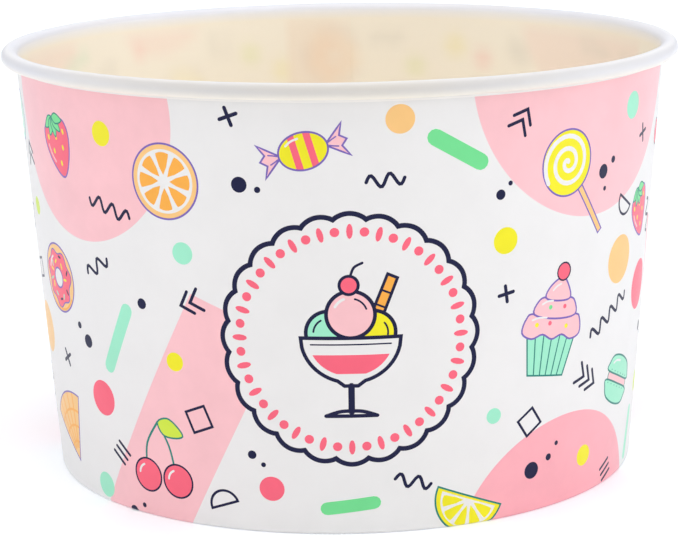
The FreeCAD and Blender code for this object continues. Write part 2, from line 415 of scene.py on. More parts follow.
class Pen:
    """Draws at a place of the wall, turned and scaled. u is along the front to the right of its middle, v is up."""

    def __init__(self, u, v, turn=0.0, scale=1.0):
        self.u, self.v, self.k = u, v, scale
        self.c, self.s = math.cos(math.radians(turn)), math.sin(math.radians(turn))

    def add(self, ink, solid, holes=()):
        loops = []
        for group, sign in ((solid, 1), (holes, -1)):
            for loop in group:
                loop = np.asarray(loop, float)
                q = loop * self.k
                q = np.stack([q[:, 0] * self.c - q[:, 1] * self.s, q[:, 0] * self.s + q[:, 1] * self.c], -1)
                q = to_plane(self.u, self.v, finer(q, 1.5))
                if area(q) * sign < 0:
                    q = q[::-1]
                loops.append(q)
        shapes.append((ink, loops))

    def fill(self, ink, *loops):
        self.add(ink, loops)

    def disc(self, ink, x, y, r, ry=None, turn=0.0):
        self.add(ink, [circle(x, y, r, ry, math.radians(turn))])

    def stroke(self, ink, points, w, closed=False):
        solid, holes = ribbon(points, w / self.k, closed)
        self.add(ink, solid, holes)

    def ring(self, ink, x, y, r, w):
        w /= self.k
        self.add(ink, [circle(x, y, r + w / 2)], [circle(x, y, r - w / 2)])

    def shape(self, ink, points, line="violet", w=0.26):
        """A filled outline with its contour."""
        if ink:
            self.add(ink, [points])
        self.stroke(line, points, w, closed=True)


def box(x0, y0, x1, y1):
    return np.array([(x0, y0), (x1, y0), (x1, y1), (x0, y1)], float)


def pill_points(length, width, n=7):
    r, h = width / 2, length / 2 - width / 2
    return np.vstack([arc_points(h, 0, r, -90, 90, n), arc_points(-h, 0, r, 90, 270, n)])


# -- small marks
def squiggle(u, v, turn=0.0, waves=3, scale=1.0, ink="navy", w=0.45):
    pen = Pen(u, v, turn, scale)
    n = waves * 10
    x = np.linspace(-waves * 1.3, waves * 1.3, n + 1)
    pen.stroke(ink, np.stack([x, 0.85 * np.sin(x / 1.3 * math.pi)], -1), w)


def chevrons(u, v, turn=0.0, count=2, scale=1.0, ink="navy", w=0.45):
    pen = Pen(u, v, turn, scale)
    for i in range(count):
        x = (i - (count - 1) / 2) * 1.5
        pen.stroke(ink, finer(np.array([(x - 0.9, -1.5), (x + 0.7, 0.0), (x - 0.9, 1.5)]), 1.0, False), w)


def plus(u, v, turn=0.0, size=1.2, ink="navy", w=0.5):
    pen = Pen(u, v, turn)
    pen.stroke(ink, [(-size, 0), (-size / 2, 0), (size / 2, 0), (size, 0)], w)
    pen.stroke(ink, [(0, -size), (0, -size / 2), (0, size / 2), (0, size)], w)


def dashes(u, v, turn=0.0, count=3, length=2.6, gap=1.0, ink="navy", w=0.42):
    pen = Pen(u, v, turn)
    for i in range(count):
        y = (i - (count - 1) / 2) * gap
        pen.stroke(ink, [(-length / 2, y), (0, y), (length / 2, y)], w)


def square(u, v, turn=0.0, size=1.7, ink="navy", w=0.36):
    Pen(u, v, turn).stroke(ink, box(-size, -size, size, size), w, closed=True)


def half_ring(u, v, turn=0.0, r=1.9, ink="navy", w=0.36):
    Pen(u, v, turn).stroke(ink, arc_points(0, 0, r, 0, 180), w, closed=True)


def dots(u, v, *list_, ink="navy"):
    pen = Pen(u, v)
    for x, y, r in list_:
        pen.disc(ink, x, y, r)


def leaf_points(length, width):
    return curve([(0, 0), (length * 0.3, width * 0.48), (length * 0.7, width * 0.36), (length, 0), (length * 0.7, -width * 0.36), (length * 0.3, -width * 0.48)], True, 4)


# -- fruit and sweets
def citrus(u, v, turn=0.0, r=4.0, rind="yellow", flesh="yellow", line="teal", half=False):
    pen = Pen(u, v, turn)
    if half:
        rim = np.vstack([arc_points(0, 0, r, 0, 180), [(-r, 0)]])
        pith = np.vstack([arc_points(0, 0.25, r * 0.84, 2, 178)])
        pen.shape(rind, rim[:-1], line)
        pen.fill("paper", pith)
        count, start, span = 5, 0.0, 180.0
        cy = 0.45
    else:
        pen.shape(rind, circle(0, 0, r), line)
        pen.disc("paper", 0, 0, r * 0.85)
        count, start, span = 8, 11.0, 360.0
        cy = 0.0
    for i in range(count):
        a = math.radians(start + span * (i + 0.5) / count)
        spread = math.radians(span / count / 2)
        r0, r1 = r * 0.17, r * 0.76
        pts = []
        for f, rr in ((0.0, r0), (-0.72, r1 * 0.9), (-0.55, r1), (0.0, r1 * 1.02), (0.55, r1), (0.72, r1 * 0.9)):
            pts.append((rr * math.cos(a + f * spread), cy + rr * math.sin(a + f * spread)))
        pen.fill(flesh, curve(pts, True, 2))


def cherries(u, v, turn=0.0, scale=1.0):
    pen = Pen(u, v, turn, scale)
    pen.stroke("teal", curve([(-1.9, -1.0), (-1.2, 1.6), (0.9, 4.0)]), 0.32)
    pen.stroke("teal", curve([(2.1, -1.6), (1.9, 1.2), (0.9, 4.0)]), 0.32)
    leaf = leaf_points(3.6, 2.2)
    leaf = leaf @ np.array([[0.88, -0.47], [0.47, 0.88]]) + np.array([0.9, 4.0])
    pen.shape("lime", leaf, "teal", 0.24)
    for x, y in ((-2.0, -2.2), (2.2, -2.9)):
        pen.shape("coral", circle(x, y, 1.95), "navy", 0.26)
        pen.stroke("paper", arc_points(x, y, 1.25, 105, 165, 6), 0.3)


def strawberry(u, v, turn=0.0, scale=1.0):
    pen = Pen(u, v, turn, scale)
    body = curve([(0, -4.0), (1.9, -2.2), (2.9, 0.4), (2.3, 2.2), (0, 2.6), (-2.3, 2.2), (-2.9, 0.4), (-1.9, -2.2)], True, 5)
    pen.shape("coral", body, "violet", 0.26)
    pen.stroke("blush", curve([(-2.25, 0.1), (-1.95, -1.0), (-1.35, -2.0)]), 0.3)
    for x, y in ((0, -2.4), (-1.1, -0.8), (1.1, -0.8), (0, 0.6), (-1.9, 0.9), (1.9, 0.9)):
        pen.disc("yellow", x, y, 0.2, 0.34)
    for a in (200, 235, 270, 305, 340):
        c, s = math.cos(math.radians(a)), math.sin(math.radians(a))
        leaf = leaf_points(2.3, 1.2) @ np.array([[c, s], [-s, c]]) + np.array([0, 2.9])
        pen.shape("green", leaf, "teal", 0.2)


def doughnut(u, v, turn=0.0, scale=1.0, icing="coral"):
    pen = Pen(u, v, turn, scale)
    pen.shape("orange", circle(0, 0, 4.3), "violet", 0.26)
    a = np.linspace(0, 2 * math.pi, 73)[:-1]
    rr = 3.45 + 0.28 * np.sin(7 * a + 0.6) + 0.12 * np.sin(3 * a)
    pen.shape(icing, np.stack([rr * np.cos(a), rr * np.sin(a)], -1), "violet", 0.2)
    pen.stroke("amber", arc_points(0, 0, 3.98, 215, 325), 0.3)
    pen.shape("paper", circle(0, 0, 1.25), "violet", 0.24)
    pen.stroke("paper", arc_points(0, 0, 2.85, 118, 158, 7), 0.3)
    for i in range(13):
        b = math.radians(i * 137.5)
        r_ = 1.95 + (i * 0.37) % 1.05
        x, y = r_ * math.cos(b), r_ * math.sin(b)
        c, s = math.cos(i * 1.7), math.sin(i * 1.7)
        bit = pill_points(0.85, 0.3, 4) @ np.array([[c, s], [-s, c]]) + np.array([x, y])
        pen.fill(("yellow", "mint", "navy")[i % 3], bit)


def lollipop(u, v, turn=0.0, scale=1.0, sweet="coral", swirl="paper"):
    pen = Pen(u, v, turn, scale)
    pen.shape("orange", box(-0.38, -10.6, 0.38, -3.4), "violet", 0.22)
    pen.shape(sweet, circle(0, 0, 3.7), "violet", 0.26)
    t = np.linspace(0.5, 5.0 * math.pi, 64)
    r_ = 3.45 * t / (5.0 * math.pi)
    pen.stroke(swirl, np.stack([r_ * np.cos(t), r_ * np.sin(t)], -1), 0.62)


def cupcake(u, v, turn=0.0, scale=1.0, case="mint", top="blush"):
    pen = Pen(u, v, turn, scale)
    pen.shape(case, finer(np.array([(-2.5, -5.0), (2.5, -5.0), (3.5, -0.6), (-3.5, -0.6)]), 1.0), "teal", 0.24)
    for i in range(1, 6):
        f = -1 + i / 3.0
        pen.stroke("teal", [(2.5 * f, -4.9), (3.0 * f, -2.8), (3.5 * f, -0.8)], 0.2)
    pen.shape(top, curve([(-4.2, -0.5), (-3.9, 1.1), (-2.8, 1.6), (2.8, 1.6), (3.9, 1.1), (4.2, -0.5), (2.8, -1.1), (1.4, -0.6), (0, -1.1), (-1.4, -0.6), (-2.8, -1.1)], True, 4), "violet", 0.26)
    pen.shape(top, curve([(-3.0, 1.5), (-2.7, 2.9), (-1.6, 3.4), (1.6, 3.4), (2.7, 2.9), (3.0, 1.5), (0, 1.1)], True, 4), "violet", 0.26)
    pen.shape(top, curve([(-1.8, 3.3), (-1.3, 4.6), (0.2, 5.5), (1.3, 4.6), (1.8, 3.3), (0, 3.0)], True, 4), "violet", 0.26)
    for pts_ in ([(-3.1, 0.9), (-2.3, 1.15), (-1.2, 1.2)], [(-2.1, 2.6), (-1.5, 2.9), (-0.7, 3.0)], [(-0.9, 4.1), (-0.5, 4.5), (0.1, 4.8)]):
        pen.stroke("paper", curve(pts_), 0.26)
    pen.shape("coral", circle(0.2, 6.1, 0.95), "navy", 0.22)
    for x, y, ink in ((-2.4, 0.4, "yellow"), (-0.6, 0.6, "coral"), (1.9, 0.3, "yellow"), (-0.9, 2.3, "green"), (1.2, 2.4, "coral")):
        pen.disc(ink, x, y, 0.25)


def candy(u, v, turn=0.0, scale=1.0, body="yellow", ends="blush", stripe="coral"):
    pen = Pen(u, v, turn, scale)
    for side in (-1, 1):
        fan = finer(np.array([(side * 2.5, 0.0), (side * 4.9, 1.9), (side * 4.3, 0.6), (side * 5.0, 0.0), (side * 4.3, -0.6), (side * 4.9, -1.9)]), 0.9)
        pen.shape(ends, fan, "violet", 0.24)
    pen.fill(body, circle(0, 0, 2.8, 2.1))
    for x in (-1.3, 0.5):
        h0, h1 = 2.1 * math.sqrt(1 - (x / 2.8) ** 2), 2.1 * math.sqrt(1 - ((x + 0.8) / 2.8) ** 2)
        pen.fill(stripe, np.array([(x, -h0), (x + 0.8, -h1), (x + 0.8, h1), (x, h0)]))
    pen.stroke("violet", circle(0, 0, 2.8, 2.1), 0.26, closed=True)
    pen.stroke("paper", curve([(-1.7, 1.05), (-1.0, 1.4), (-0.2, 1.5)]), 0.28)
    for side in (-1, 1):
        for y in (-0.55, 0.55):
            pen.stroke("violet", [(side * 2.95, y * 0.35), (side * 3.4, y * 0.7), (side * 3.9, y)], 0.18)


def macaron(u, v, turn=0.0, scale=1.0, shell="mint", cream="blush", line="teal"):
    pen = Pen(u, v, turn, scale)
    dome = np.array([(3.7, 0.6), (3.6, 1.6), (2.6, 2.7), (0, 3.1), (-2.6, 2.7), (-3.6, 1.6), (-3.7, 0.6), (0, 0.5)])
    pen.shape(cream, pill_points(6.9, 1.5), line, 0.22)
    pen.shape(shell, curve(dome, True, 4), line, 0.26)
    pen.shape(shell, curve(dome * np.array([1, -1]), True, 4), line, 0.26)
    pen.stroke("paper", curve([(-2.5, 1.7), (-1.7, 2.2), (-0.4, 2.4)]), 0.3)
    for x in (-2.6, -1.5, -0.4, 0.7, 1.8, 2.8):
        pen.disc(line, x, 0.86, 0.1)
        pen.disc(line, x - 0.4, -0.86, 0.1)


def fan_wafer(u, v, turn=0.0, scale=1.0):
    pen = Pen(u, v, turn, scale)
    edge = np.vstack([[(0, 0)], arc_points(0, 0, 8.2, 56, 124)])
    pen.fill("orange", edge)
    for r_ in (2.3, 4.2, 6.1):
        pen.stroke("amber", arc_points(0, 0, r_, 57, 123), 0.34)
    for a in (70, 83, 97, 110):
        c, s = math.cos(math.radians(a)), math.sin(math.radians(a))
        pen.stroke("amber", [(1.6 * c, 1.6 * s), (4.5 * c, 4.5 * s), (8.0 * c, 8.0 * s)], 0.34)
    pen.stroke("violet", edge, 0.24, closed=True)


def coupe(pen, line="navy", w=0.5):
    """A footed glass with three scoops and a wafer, in the middle of the round label."""
    pen.fill("amber", np.array([(2.3, 4.2), (3.7, 3.6), (6.2, 10.0), (4.9, 10.6)]))
    pen.stroke(line, np.array([(2.3, 4.2), (3.7, 3.6), (6.2, 10.0), (4.9, 10.6)]), w * 0.8, closed=True)
    pen.stroke(line, [(3.25, 6.6), (3.95, 6.3), (4.65, 6.0)], w * 0.55)
    pen.stroke(line, [(4.0, 8.5), (4.7, 8.2), (5.4, 7.9)], w * 0.55)
    for x, y, r_, ink in ((-2.9, 2.7, 3.0, "mint"), (2.9, 2.7, 3.0, "yellow"), (0.0, 5.2, 3.2, "blush")):
        pen.shape(ink, circle(x, y, r_), line, w)
    for x, y, r_, a0, a1 in ((0.0, 5.2, 2.2, 20, 75), (-2.9, 2.7, 2.0, 120, 175), (2.9, 2.7, 2.0, -10, 40)):
        pen.stroke(line, arc_points(x, y, r_, a0, a1, 7), w * 0.5)
    pen.shape("coral", circle(-0.2, 9.2, 1.25), line, w * 0.8)
    pen.stroke(line, curve([(0.0, 10.4), (0.5, 11.6), (1.6, 12.2)]), w * 0.7)
    bowl = np.vstack([[(-6.6, 2.0), (6.6, 2.0)], arc_points(0, 2.0, 6.6, -12, -74, 12) * np.array([1, 0.93]) + np.array([0, 0.14]), [(0.9, -4.6), (-0.9, -4.6)], (arc_points(0, 2.0, 6.6, -74, -12, 12) * np.array([-1, 0.93]) + np.array([0, 0.14]))])
    pen.fill("paper", bowl)
    pen.stroke(line, bowl, w, closed=True)
    pen.stroke(line, [(0, -4.6), (0, -6.4), (0, -8.2)], w * 1.7)
    pen.stroke(line, curve([(-3.4, -8.8), (-1.6, -8.2), (0, -8.1), (1.6, -8.2), (3.4, -8.8)]), w)
    pen.stroke(line, [(-3.4, -8.8), (0, -8.8), (3.4, -8.8)], w)
    pen.stroke("paper", arc_points(0.0, 5.2, 2.3, 112, 152, 7), w * 0.7)
    pen.stroke(line, [(-5.3, 1.1), (0, 1.1), (5.3, 1.1)], w * 0.4)
    pen.fill("coral", np.vstack([arc_points(0, 2.0, 5.6, -25, -70, 8) * np.array([1, 0.9]), (arc_points(0, 2.0, 5.6, -70, -25, 8) * np.array([-1, 0.9]))]))


def round_label(u, v):
    pen = Pen(u, v)
    a = np.linspace(0, 2 * math.pi, 289)[:-1]
    edge = 16.2 + 0.7 * np.abs(np.cos(a * 12)) ** 0.8
    pen.fill("paper", np.stack([(edge + 0.2) * np.cos(a), (edge + 0.2) * np.sin(a)], -1))
    pen.stroke("navy", np.stack([edge * np.cos(a), edge * np.sin(a)], -1), 0.66, closed=True)
    n = 48
    for i in range(n):
        a = 2 * math.pi * i / n
        c, s = math.cos(a), math.sin(a)
        if i % 2:
            pen.disc("coral", 14.55 * c, 14.55 * s, 0.62)
        else:
            petal = np.stack([13.6 + 1.0 * np.cos(np.linspace(0, 2 * math.pi, 13)[:-1]), 0.42 * np.sin(np.linspace(0, 2 * math.pi, 13)[:-1])], -1)
            petal[:, 0] += 0.95
            pen.fill("coral", petal @ np.array([[c, s], [-s, c]]))
    coupe(Pen(u, v - 1.6, 0, 0.98))


def field(ink, u, v, points):
    Pen(u, v).fill(ink, finer(np.asarray(points, float), 1.4))


# -- the layout, large fields first
field("blush", 0, 0, circle(-40.5, 53.5, 18.0))
field("blush", 0, 0, [(-41, -9), (-25.5, -9), (-8, 27), (-20.5, 31.5)])
field("blush", 0, 0, circle(39.5, 60.8, 22.5))
field("rose", 0, 0, circle(32.5, -6.5, 18.0))
field("blush", -66, 0, [(-6, -9), (-19, -9), (-14, 31), (-1.5, 35)])
field("blush", 64, 0, [(-6, 36), (3.5, 33), (11, 6.5), (1.0, 10)])

citrus(-23.2, 46.6, 12, 5.0, "orange", "amber", "violet")
strawberry(-43.5, 49.6, 16, 1.2)
doughnut(-48.0, 30.0, 0, 1.12)
candy(-4.6, 51.3, 16, 1.15)
lollipop(31.2, 47.4, 36, 1.2, "yellow", "paper")
cupcake(30.2, 25.0, -9, 1.28)
cherries(-27.8, 8.4, 8, 1.2)
fan_wafer(-47.5, 3.6, 24, 1.2)
citrus(17.6, 3.6, 158, 5.0, "yellow", "yellow", "teal", half=True)
strawberry(51.5, 38.0, 22, 1.1)
macaron(47.8, 14.2, -22, 1.1)
cherries(62.0, 49.0, -14, 0.95)
lollipop(-61.0, 51.0, -16, 0.95, "mint", "paper")

Pen(14.6, 50.8, -30).fill("green", pill_points(9.4, 2.2))
Pen(-33.6, 24.0, 62).fill("mint", pill_points(11.5, 2.0))
Pen(55.5, 4.5, 78).fill("mint", pill_points(8.0, 1.6))
Pen(0.6, 3.6, 7).fill("green", pill_points(8.0, 1.8))
Pen(45.0, 32.0).disc("orange", 0, 0, 3.4)
Pen(-38.2, 14.8).disc("coral", 0, 0, 2.5)
Pen(-57.5, 21.0).disc("orange", 0, 0, 3.7)
Pen(54.5, 26.5).disc("coral", 0, 0, 3.6)
Pen(-33.2, 52.0).disc("yellow", 0, 0, 1.7)
Pen(-21.2, 37.2).disc("mint", 0, 0, 1.5)
Pen(21.6, 38.2).disc("yellow", 0, 0, 1.8)
Pen(-23.6, 22.2).disc("yellow", 0, 0, 1.3)
Pen(20.8, 14.4).disc("mint", 0, 0, 1.1)
Pen(-10.2, 5.8).disc("coral", 0, 0, 1.7)
Pen(38.6, 5.4).disc("yellow", 0, 0, 1.5)
Pen(-39.6, 2.0).disc("mint", 0, 0, 1.8)
Pen(45.5, 53.2).disc("mint", 0, 0, 1.9)
Pen(-54.8, 39.0).disc("lime", 0, 0, 1.3)
Pen(60.0, 11.0).disc("lime", 0, 0, 1.6)
Pen(7.2, 55.2).disc("orange", 0, 0, 1.9)

squiggle(-33.0, 42.0, -14, 3)
squiggle(43.0, 24.6, 26, 4)
squiggle(-36.6, 33.6, 30, 2)
squiggle(5.4, 47.4, 6, 2, 0.95)
squiggle(9.2, 6.6, -12, 2, 0.95)
squiggle(-61.5, 11.0, 80, 3)
squiggle(57.0, 36.0, -70, 2)
chevrons(-20.6, 30.6, 200)
chevrons(23.4, 54.0, 60, 2)
chevrons(38.0, 16.6, -30, 3)
chevrons(-55.5, 46.5, 100, 2)
plus(-13.8, 55.6, 20)
plus(22.0, 31.0, 10, 1.1)
plus(-48.0, 18.6, 30, 1.2)
plus(50.0, 48.8, 15, 1.2)
square(-20.4, 14.6, 22, 1.5)
square(26.8, 12.6, 35, 1.4)
square(-57.8, 29.6, 12, 1.3)
half_ring(45.4, 40.2, 150, 2.0)
half_ring(-17.2, 3.0, 20, 2.0)
half_ring(-60.0, 36.5, 70, 1.9)
dashes(45.6, 1.6, 25)
dashes(-35.0, 7.6, -40)
dots(-12.8, 46.8, (0, 0, 1.05), (2.4, -0.6, 0.42))
dots(38.6, 45.2, (0, 0, 1.0), (2.3, 1.3, 0.5), (0.6, -2.4, 0.34))
dots(-40.6, 22.4, (0, 0, 0.95), (-2.0, 1.9, 0.5))
dots(27.6, 5.6, (0, 0, 1.2), (3.0, 1.3, 0.5), (4.4, 3.0, 0.34))
dots(-33.4, -0.4, (0, 0, 0.75), (2.1, 1.2, 0.36))
dots(58.5, 19.5, (0, 0, 0.8), (1.9, -1.4, 0.4))
dots(-12.8, 10.4, (0, 0, 0.6), (1.5, -1.3, 0.34))
dots(20.6, 44.4, (0, 0, 0.7), (1.4, 1.4, 0.34))
dots(-28.4, 29.6, (0, 0, 0.75))

# the sides and the back
field("blush", 93, 0, circle(0, 61.0, 15.5))
field("rose", 88, 0, [(-12, -9), (10, -9), (16, 20), (4, 27)])
field("blush", 126, 0, [(-9, 43), (8, 39), (13, 8), (0, 2)])
field("blush", -96, 0, circle(0, -6.0, 18.0))
field("blush", -84, 0, [(-8, 64), (12, 64), (9, 38), (-2, 33)])
field("rose", -118, 0, [(-7, 42), (5, 45.5), (11, 16), (-3, 10)])
field("blush", -108, 0, circle(0, 63.0, 9.5))

cupcake(80.0, 44.0, 8, 1.05, "yellow", "mint")
doughnut(84.5, 27.5, 0, 1.0, "mint")
strawberry(73.5, 14.0, -20, 1.0)
citrus(97.0, 46.0, 20, 4.2, "lime", "lime", "teal")
candy(103.0, 31.5, -25, 1.0, "mint", "coral", "yellow")
lollipop(115.5, 43.0, 20, 1.0, "coral", "paper")
fan_wafer(101.0, 8.5, -20, 1.05)
cherries(118.0, 16.5, 8, 1.05)
macaron(131.0, 35.0, 15, 0.95, "yellow", "coral", "violet")
citrus(138.6, 51.6, 30, 4.6, "orange", "amber", "violet")
doughnut(133.5, 10.5, 0, 1.0, "yellow")
cherries(-74.0, 30.5, 16, 1.0)
cupcake(-88.0, 22.0, -12, 1.05, "orange", "coral")
doughnut(-97.5, 42.0, 0, 1.0, "blush")
candy(-77.5, 8.0, 30, 1.0)
strawberry(-108.5, 27.0, 14, 1.0)
citrus(-104.0, 7.5, 0, 4.3, "yellow", "yellow", "teal")
lollipop(-112.0, 48.0, -24, 0.95, "yellow", "paper")
macaron(-76.5, 48.5, -18, 0.95, "orange", "coral", "violet")
cherries(-122.5, 30.0, -8, 0.95)

Pen(91.0, 8.0, 66).fill("mint", pill_points(9.6, 1.9))
Pen(123.0, 30.0, -40).fill("green", pill_points(8.4, 2.0))
Pen(-65.5, 24.5, 70).fill("green", pill_points(8.4, 1.8))
Pen(-116.5, 8.0, 20).fill("mint", pill_points(9.0, 1.9))
Pen(-90.0, 54.0, -20).fill("mint", pill_points(7.4, 1.8))
for u, v, r_, ink in (
    (71.0, 29.5, 3.2, "orange"), (110.0, 20.0, 2.2, "coral"), (92.5, 36.5, 1.6, "yellow"), (125.5, 50.0, 1.7, "lime"),
    (83.5, 9.0, 1.5, "yellow"), (112.0, 4.5, 1.8, "mint"), (139.5, 24.5, 2.2, "coral"), (119.0, 53.6, 1.8, "yellow"), (114.2, 51.6, 1.5, "coral"), (-129.0, 49.6, 2.0, "yellow"), (-68.0, 53.5, 1.8, "yellow"),
    (-82.0, 39.5, 3.4, "orange"), (-96.0, 31.0, 1.6, "coral"), (-70.5, 18.5, 1.7, "yellow"), 
    (-92.5, 8.0, 2.0, "mint"), (-126.0, 15.0, 3.0, "orange"), (-104.0, 54.5, 1.3, "coral"), (69.4, 54.6, 1.6, "lime"),
    (-123.4, 52.6, 1.6, "lime"), (136.8, 43.2, 1.3, "mint"),
):
    Pen(u, v).disc(ink, 0, 0, r_)
for u, v, turn, n in ((68.5, 38.0, 70, 3), (92.0, 55.0, 8, 3), (94.5, 21.5, -24, 3), (110.0, 11.5, 34, 2), (125.0, 24.0, 20, 3), (130.0, 54.6, 4, 2), (-70.0, 40.5, -20, 3), (-86.5, 33.0, 24, 2), (-97.5, 15.0, -12, 3), (-118.0, 22.5, 40, 2), (-122.0, 44.0, -8, 3)):
    squiggle(u, v, turn, n)
for u, v, turn, n in ((87.5, 17.5, 30, 2), (108.0, 53.0, 200, 3), (121.0, 6.0, -20, 2), (-80.5, 15.5, 60, 2), (-103.0, 35.0, 120, 2), (-113.0, 16.0, 10, 3)):
    chevrons(u, v, turn, n)
for u, v, turn in ((76.0, 21.5, 10), (104.5, 39.5, 30), (129.5, 43.0, 5), (-67.5, 8.5, 25), (-91.5, 47.0, 12), (-109.5, 38.5, 40)):
    plus(u, v, turn, 1.1)
for u, v, turn in ((83.6, 53.0, 30), (116.0, 25.5, 12), (137.5, 16.5, 22), (-84.0, 3.5, 15), (-100.0, 24.5, 35), (-118.5, 54.0, 8)):
    square(u, v, turn, 1.45)
for u, v, turn in ((69.5, 5.5, 20), (110.5, 32.0, 140), (-72.0, 14.0, 70), (-97.0, 52.5, 160), (-124.5, 37.5, 30)):
    half_ring(u, v, turn)
for u, v in ((78.5, 5.0), (99.0, 27.0), (121.5, 36.5), (-70.0, 3.5), (-93.0, 36.5), (-106.5, 18.5), (64.0, 20.5), (130.5, 20.5)):
    dots(u, v, (0, 0, 0.9), (2.1, 1.5, 0.45))

round_label(0.9, 26.3)


def clip_to_sheet(p):
    q = p.copy()
    q[:, 0] = np.clip(q[:, 0], X_LO, X_HI)
    q[:, 1] = np.clip(q[:, 1], Y_LO + 0.6, PRINT_HI + 0.6)
    return q


shapes = [(ink, [clip_to_sheet(l) for l in loops]) for ink, loops in shapes]


def inside(points, loops):
    """Which of the points the loops wind round."""
    wind = np.zeros(len(points), int)
    px, py = points[:, 0][:, None], points[:, 1][:, None]
    for loop in loops:
        x0, y0 = loop[:, 0][None], loop[:, 1][None]
        x1, y1 = np.roll(loop[:, 0], -1)[None], np.roll(loop[:, 1], -1)[None]
        side = (x1 - x0) * (py - y0) - (px - x0) * (y1 - y0)
        up = (y0 <= py) & (y1 > py) & (side > 0)
        down = (y0 > py) & (y1 <= py) & (side < 0)
        wind += up.sum(1) - down.sum(1)
    return wind != 0


def inks_at(points):
    """The ink that shows at each point: 0 for bare board, otherwise 1 + its place in INK_NAMES."""
    found = np.zeros(len(points), int)
    left = np.ones(len(points), bool)
    left &= (points[:, 1] > PRINT_LO) & (points[:, 1] < PRINT_HI)
    for ink, loops in reversed(shapes):
        every = np.vstack(loops)
        lo, hi = every.min(0), every.max(0)
        near = np.nonzero(left & (points[:, 0] > lo[0]) & (points[:, 0] < hi[0]) & (points[:, 1] > lo[1]) & (points[:, 1] < hi[1]))[0]
        if not len(near):
            continue
        hit = near[inside(points[near], loops)]
        found[hit] = 0 if ink == "paper" else 1 + INK_NAMES.index(ink)
        left[hit] = False
    return found


# ---- columns and rows ---------------------------------------------------------------------------
cols = np.linspace(LAP_OUT_DEG - 360, LAP_OUT_DEG, 361)
ramp0 = LAP_IN_DEG - LAP_RAMP_DEG
cols = cols[(cols < ramp0 - 0.3) | (cols > LAP_IN_DEG + 0.3)]
cols = np.sort(np.concatenate([cols, np.linspace(ramp0, LAP_IN_DEG, 6)]))
N = len(cols) - 1


def spaced(a, b, step):
    return list(np.linspace(a, b, max(1, int(math.ceil((b - a) / step))) + 1)[1:])


def arc_rows(course, steps_deg):
    rows = [0.0]
    for kind, s0, length, p, q in course.segs:
        if kind == "line":
            rows.append(s0 + length)
        else:
            a0, sweep, rho = q
            k = max(2, int(math.ceil(abs(math.degrees(sweep)) / steps_deg)))
            rows += [s0 + length * (i + 1) / k for i in range(k)]
    return rows


rows_a = set(round(r_, 4) for r_ in arc_rows(side_a, 18))
rows_a |= set(round(r_, 4) for r_ in spaced(0.0, HEM_L, 0.6)) | {0.25, round(HEM_L, 4), round(HEM_L - 0.4, 4), round(HEM_L - 0.2, 4)}
rows_a |= set(round(r_, 4) for r_ in [A_LAP0, A_LAP0 + 0.2, A_LAP0 + 0.4, A_LAP1 - 0.5, A_LAP1 - 0.25, A_LAP1])
rows_a |= set(round(r_, 4) for r_ in spaced(A_LAP0 + 0.4, A_LAP1 - 0.5, 4.6))
rows_a |= {round(PRINT_LO + A0, 4), round(PRINT_HI + A0, 4)}
rows_a = np.array(sorted(rows_a))
keep = np.concatenate([[True], np.diff(rows_a) > 0.03])
rows_a = rows_a[keep]
rows_a[-1] = A_END
rows_b = set(round(r_, 4) for r_ in arc_rows(side_b, 12))
rows_b |= set(round(r_, 4) for r_ in [B_FLOOR, B_FLOOR + 0.05, B_LAP1 - 0.5, B_LAP1 - 0.25, B_LAP1])
rows_b |= set(round(r_, 4) for r_ in spaced(B_FLOOR + 0.05, B_LAP1 - 0.5, 1.4))
rows_b |= set(round(r_, 4) for r_ in spaced(side_b.marks["wall0"], B_FLOOR, 2.4))
rows_b = np.array(sorted(rows_b))
keep = np.concatenate([[True], np.diff(rows_b) > 0.02])
rows_b = rows_b[keep]
rows_b[-1] = side_b.marks["end"]

# ---- the printed side, triangulated round the print ----------------------------------------------
pts, edges = [], []
grid = np.zeros((N + 1, len(rows_a)), int)
gx = np.radians(cols) * K
gx[0], gx[-1] = X_LO, X_HI
for i in range(N + 1):
    for j, s in enumerate(rows_a):
        grid[i, j] = len(pts)
        pts.append((gx[i], s - A0))
for i in range(N + 1):
    for j in range(len(rows_a)):
        if j:
            edges.append((int(grid[i, j - 1]), int(grid[i, j])))
        if i:
            edges.append((int(grid[i - 1, j]), int(grid[i, j])))
for ink, loops in shapes:
    for loop in loops:
        first = len(pts)
        pts += [tuple(q) for q in loop]
        n = len(loop)
        edges += [(first + k, first + (k + 1) % n) for k in range(n)]
flat, _, tris, _, _, _ = delaunay_2d_cdt([Vector(p) for p in pts], edges, [], 0, 2e-4, False)
flat = np.array([(p.x, p.y) for p in flat])
tris = np.array([t for t in tris if len(t) == 3])
mid = flat[tris].mean(1)
ink_of = inks_at(mid)

right = np.abs(flat[:, 0] - X_HI) < 2e-3
leftm = np.abs(flat[:, 0] - X_LO) < 2e-3
deg_a = np.degrees(flat[:, 0] / K)
deg_a[right], deg_a[leftm] = LAP_OUT_DEG, LAP_OUT_DEG - 360
s_a = np.clip(flat[:, 1] + A0, 0.0, A_END)
pos_a = place(side_a, 1, deg_a, s_a, right)
nor_a = normals(side_a, 1, deg_a, s_a, right, 0.0, A_END)

# weld the two ends of the blank wherever the lap is pressed flush
lid = np.nonzero(leftm)[0]
lid = lid[np.argsort(s_a[lid])]
rid = np.nonzero(right)[0]
rid = rid[np.argsort(s_a[rid])]
alias = np.arange(len(flat))
loose = 0
gap_r = np.linalg.norm(pos_a[rid] - place(side_a, 1, deg_a[rid] - 360, s_a[rid], np.zeros(len(rid), bool)), axis=1)
open_r = gap_r > 1e-6
for k, v in enumerate(rid):
    if open_r[k]:
        continue
    j = lid[np.argmin(np.abs(s_a[lid] - s_a[v]))]
    if abs(s_a[j] - s_a[v]) < 2e-3:
        alias[v] = j
    else:
        loose += 1
print("seam points that found no partner:", loose)

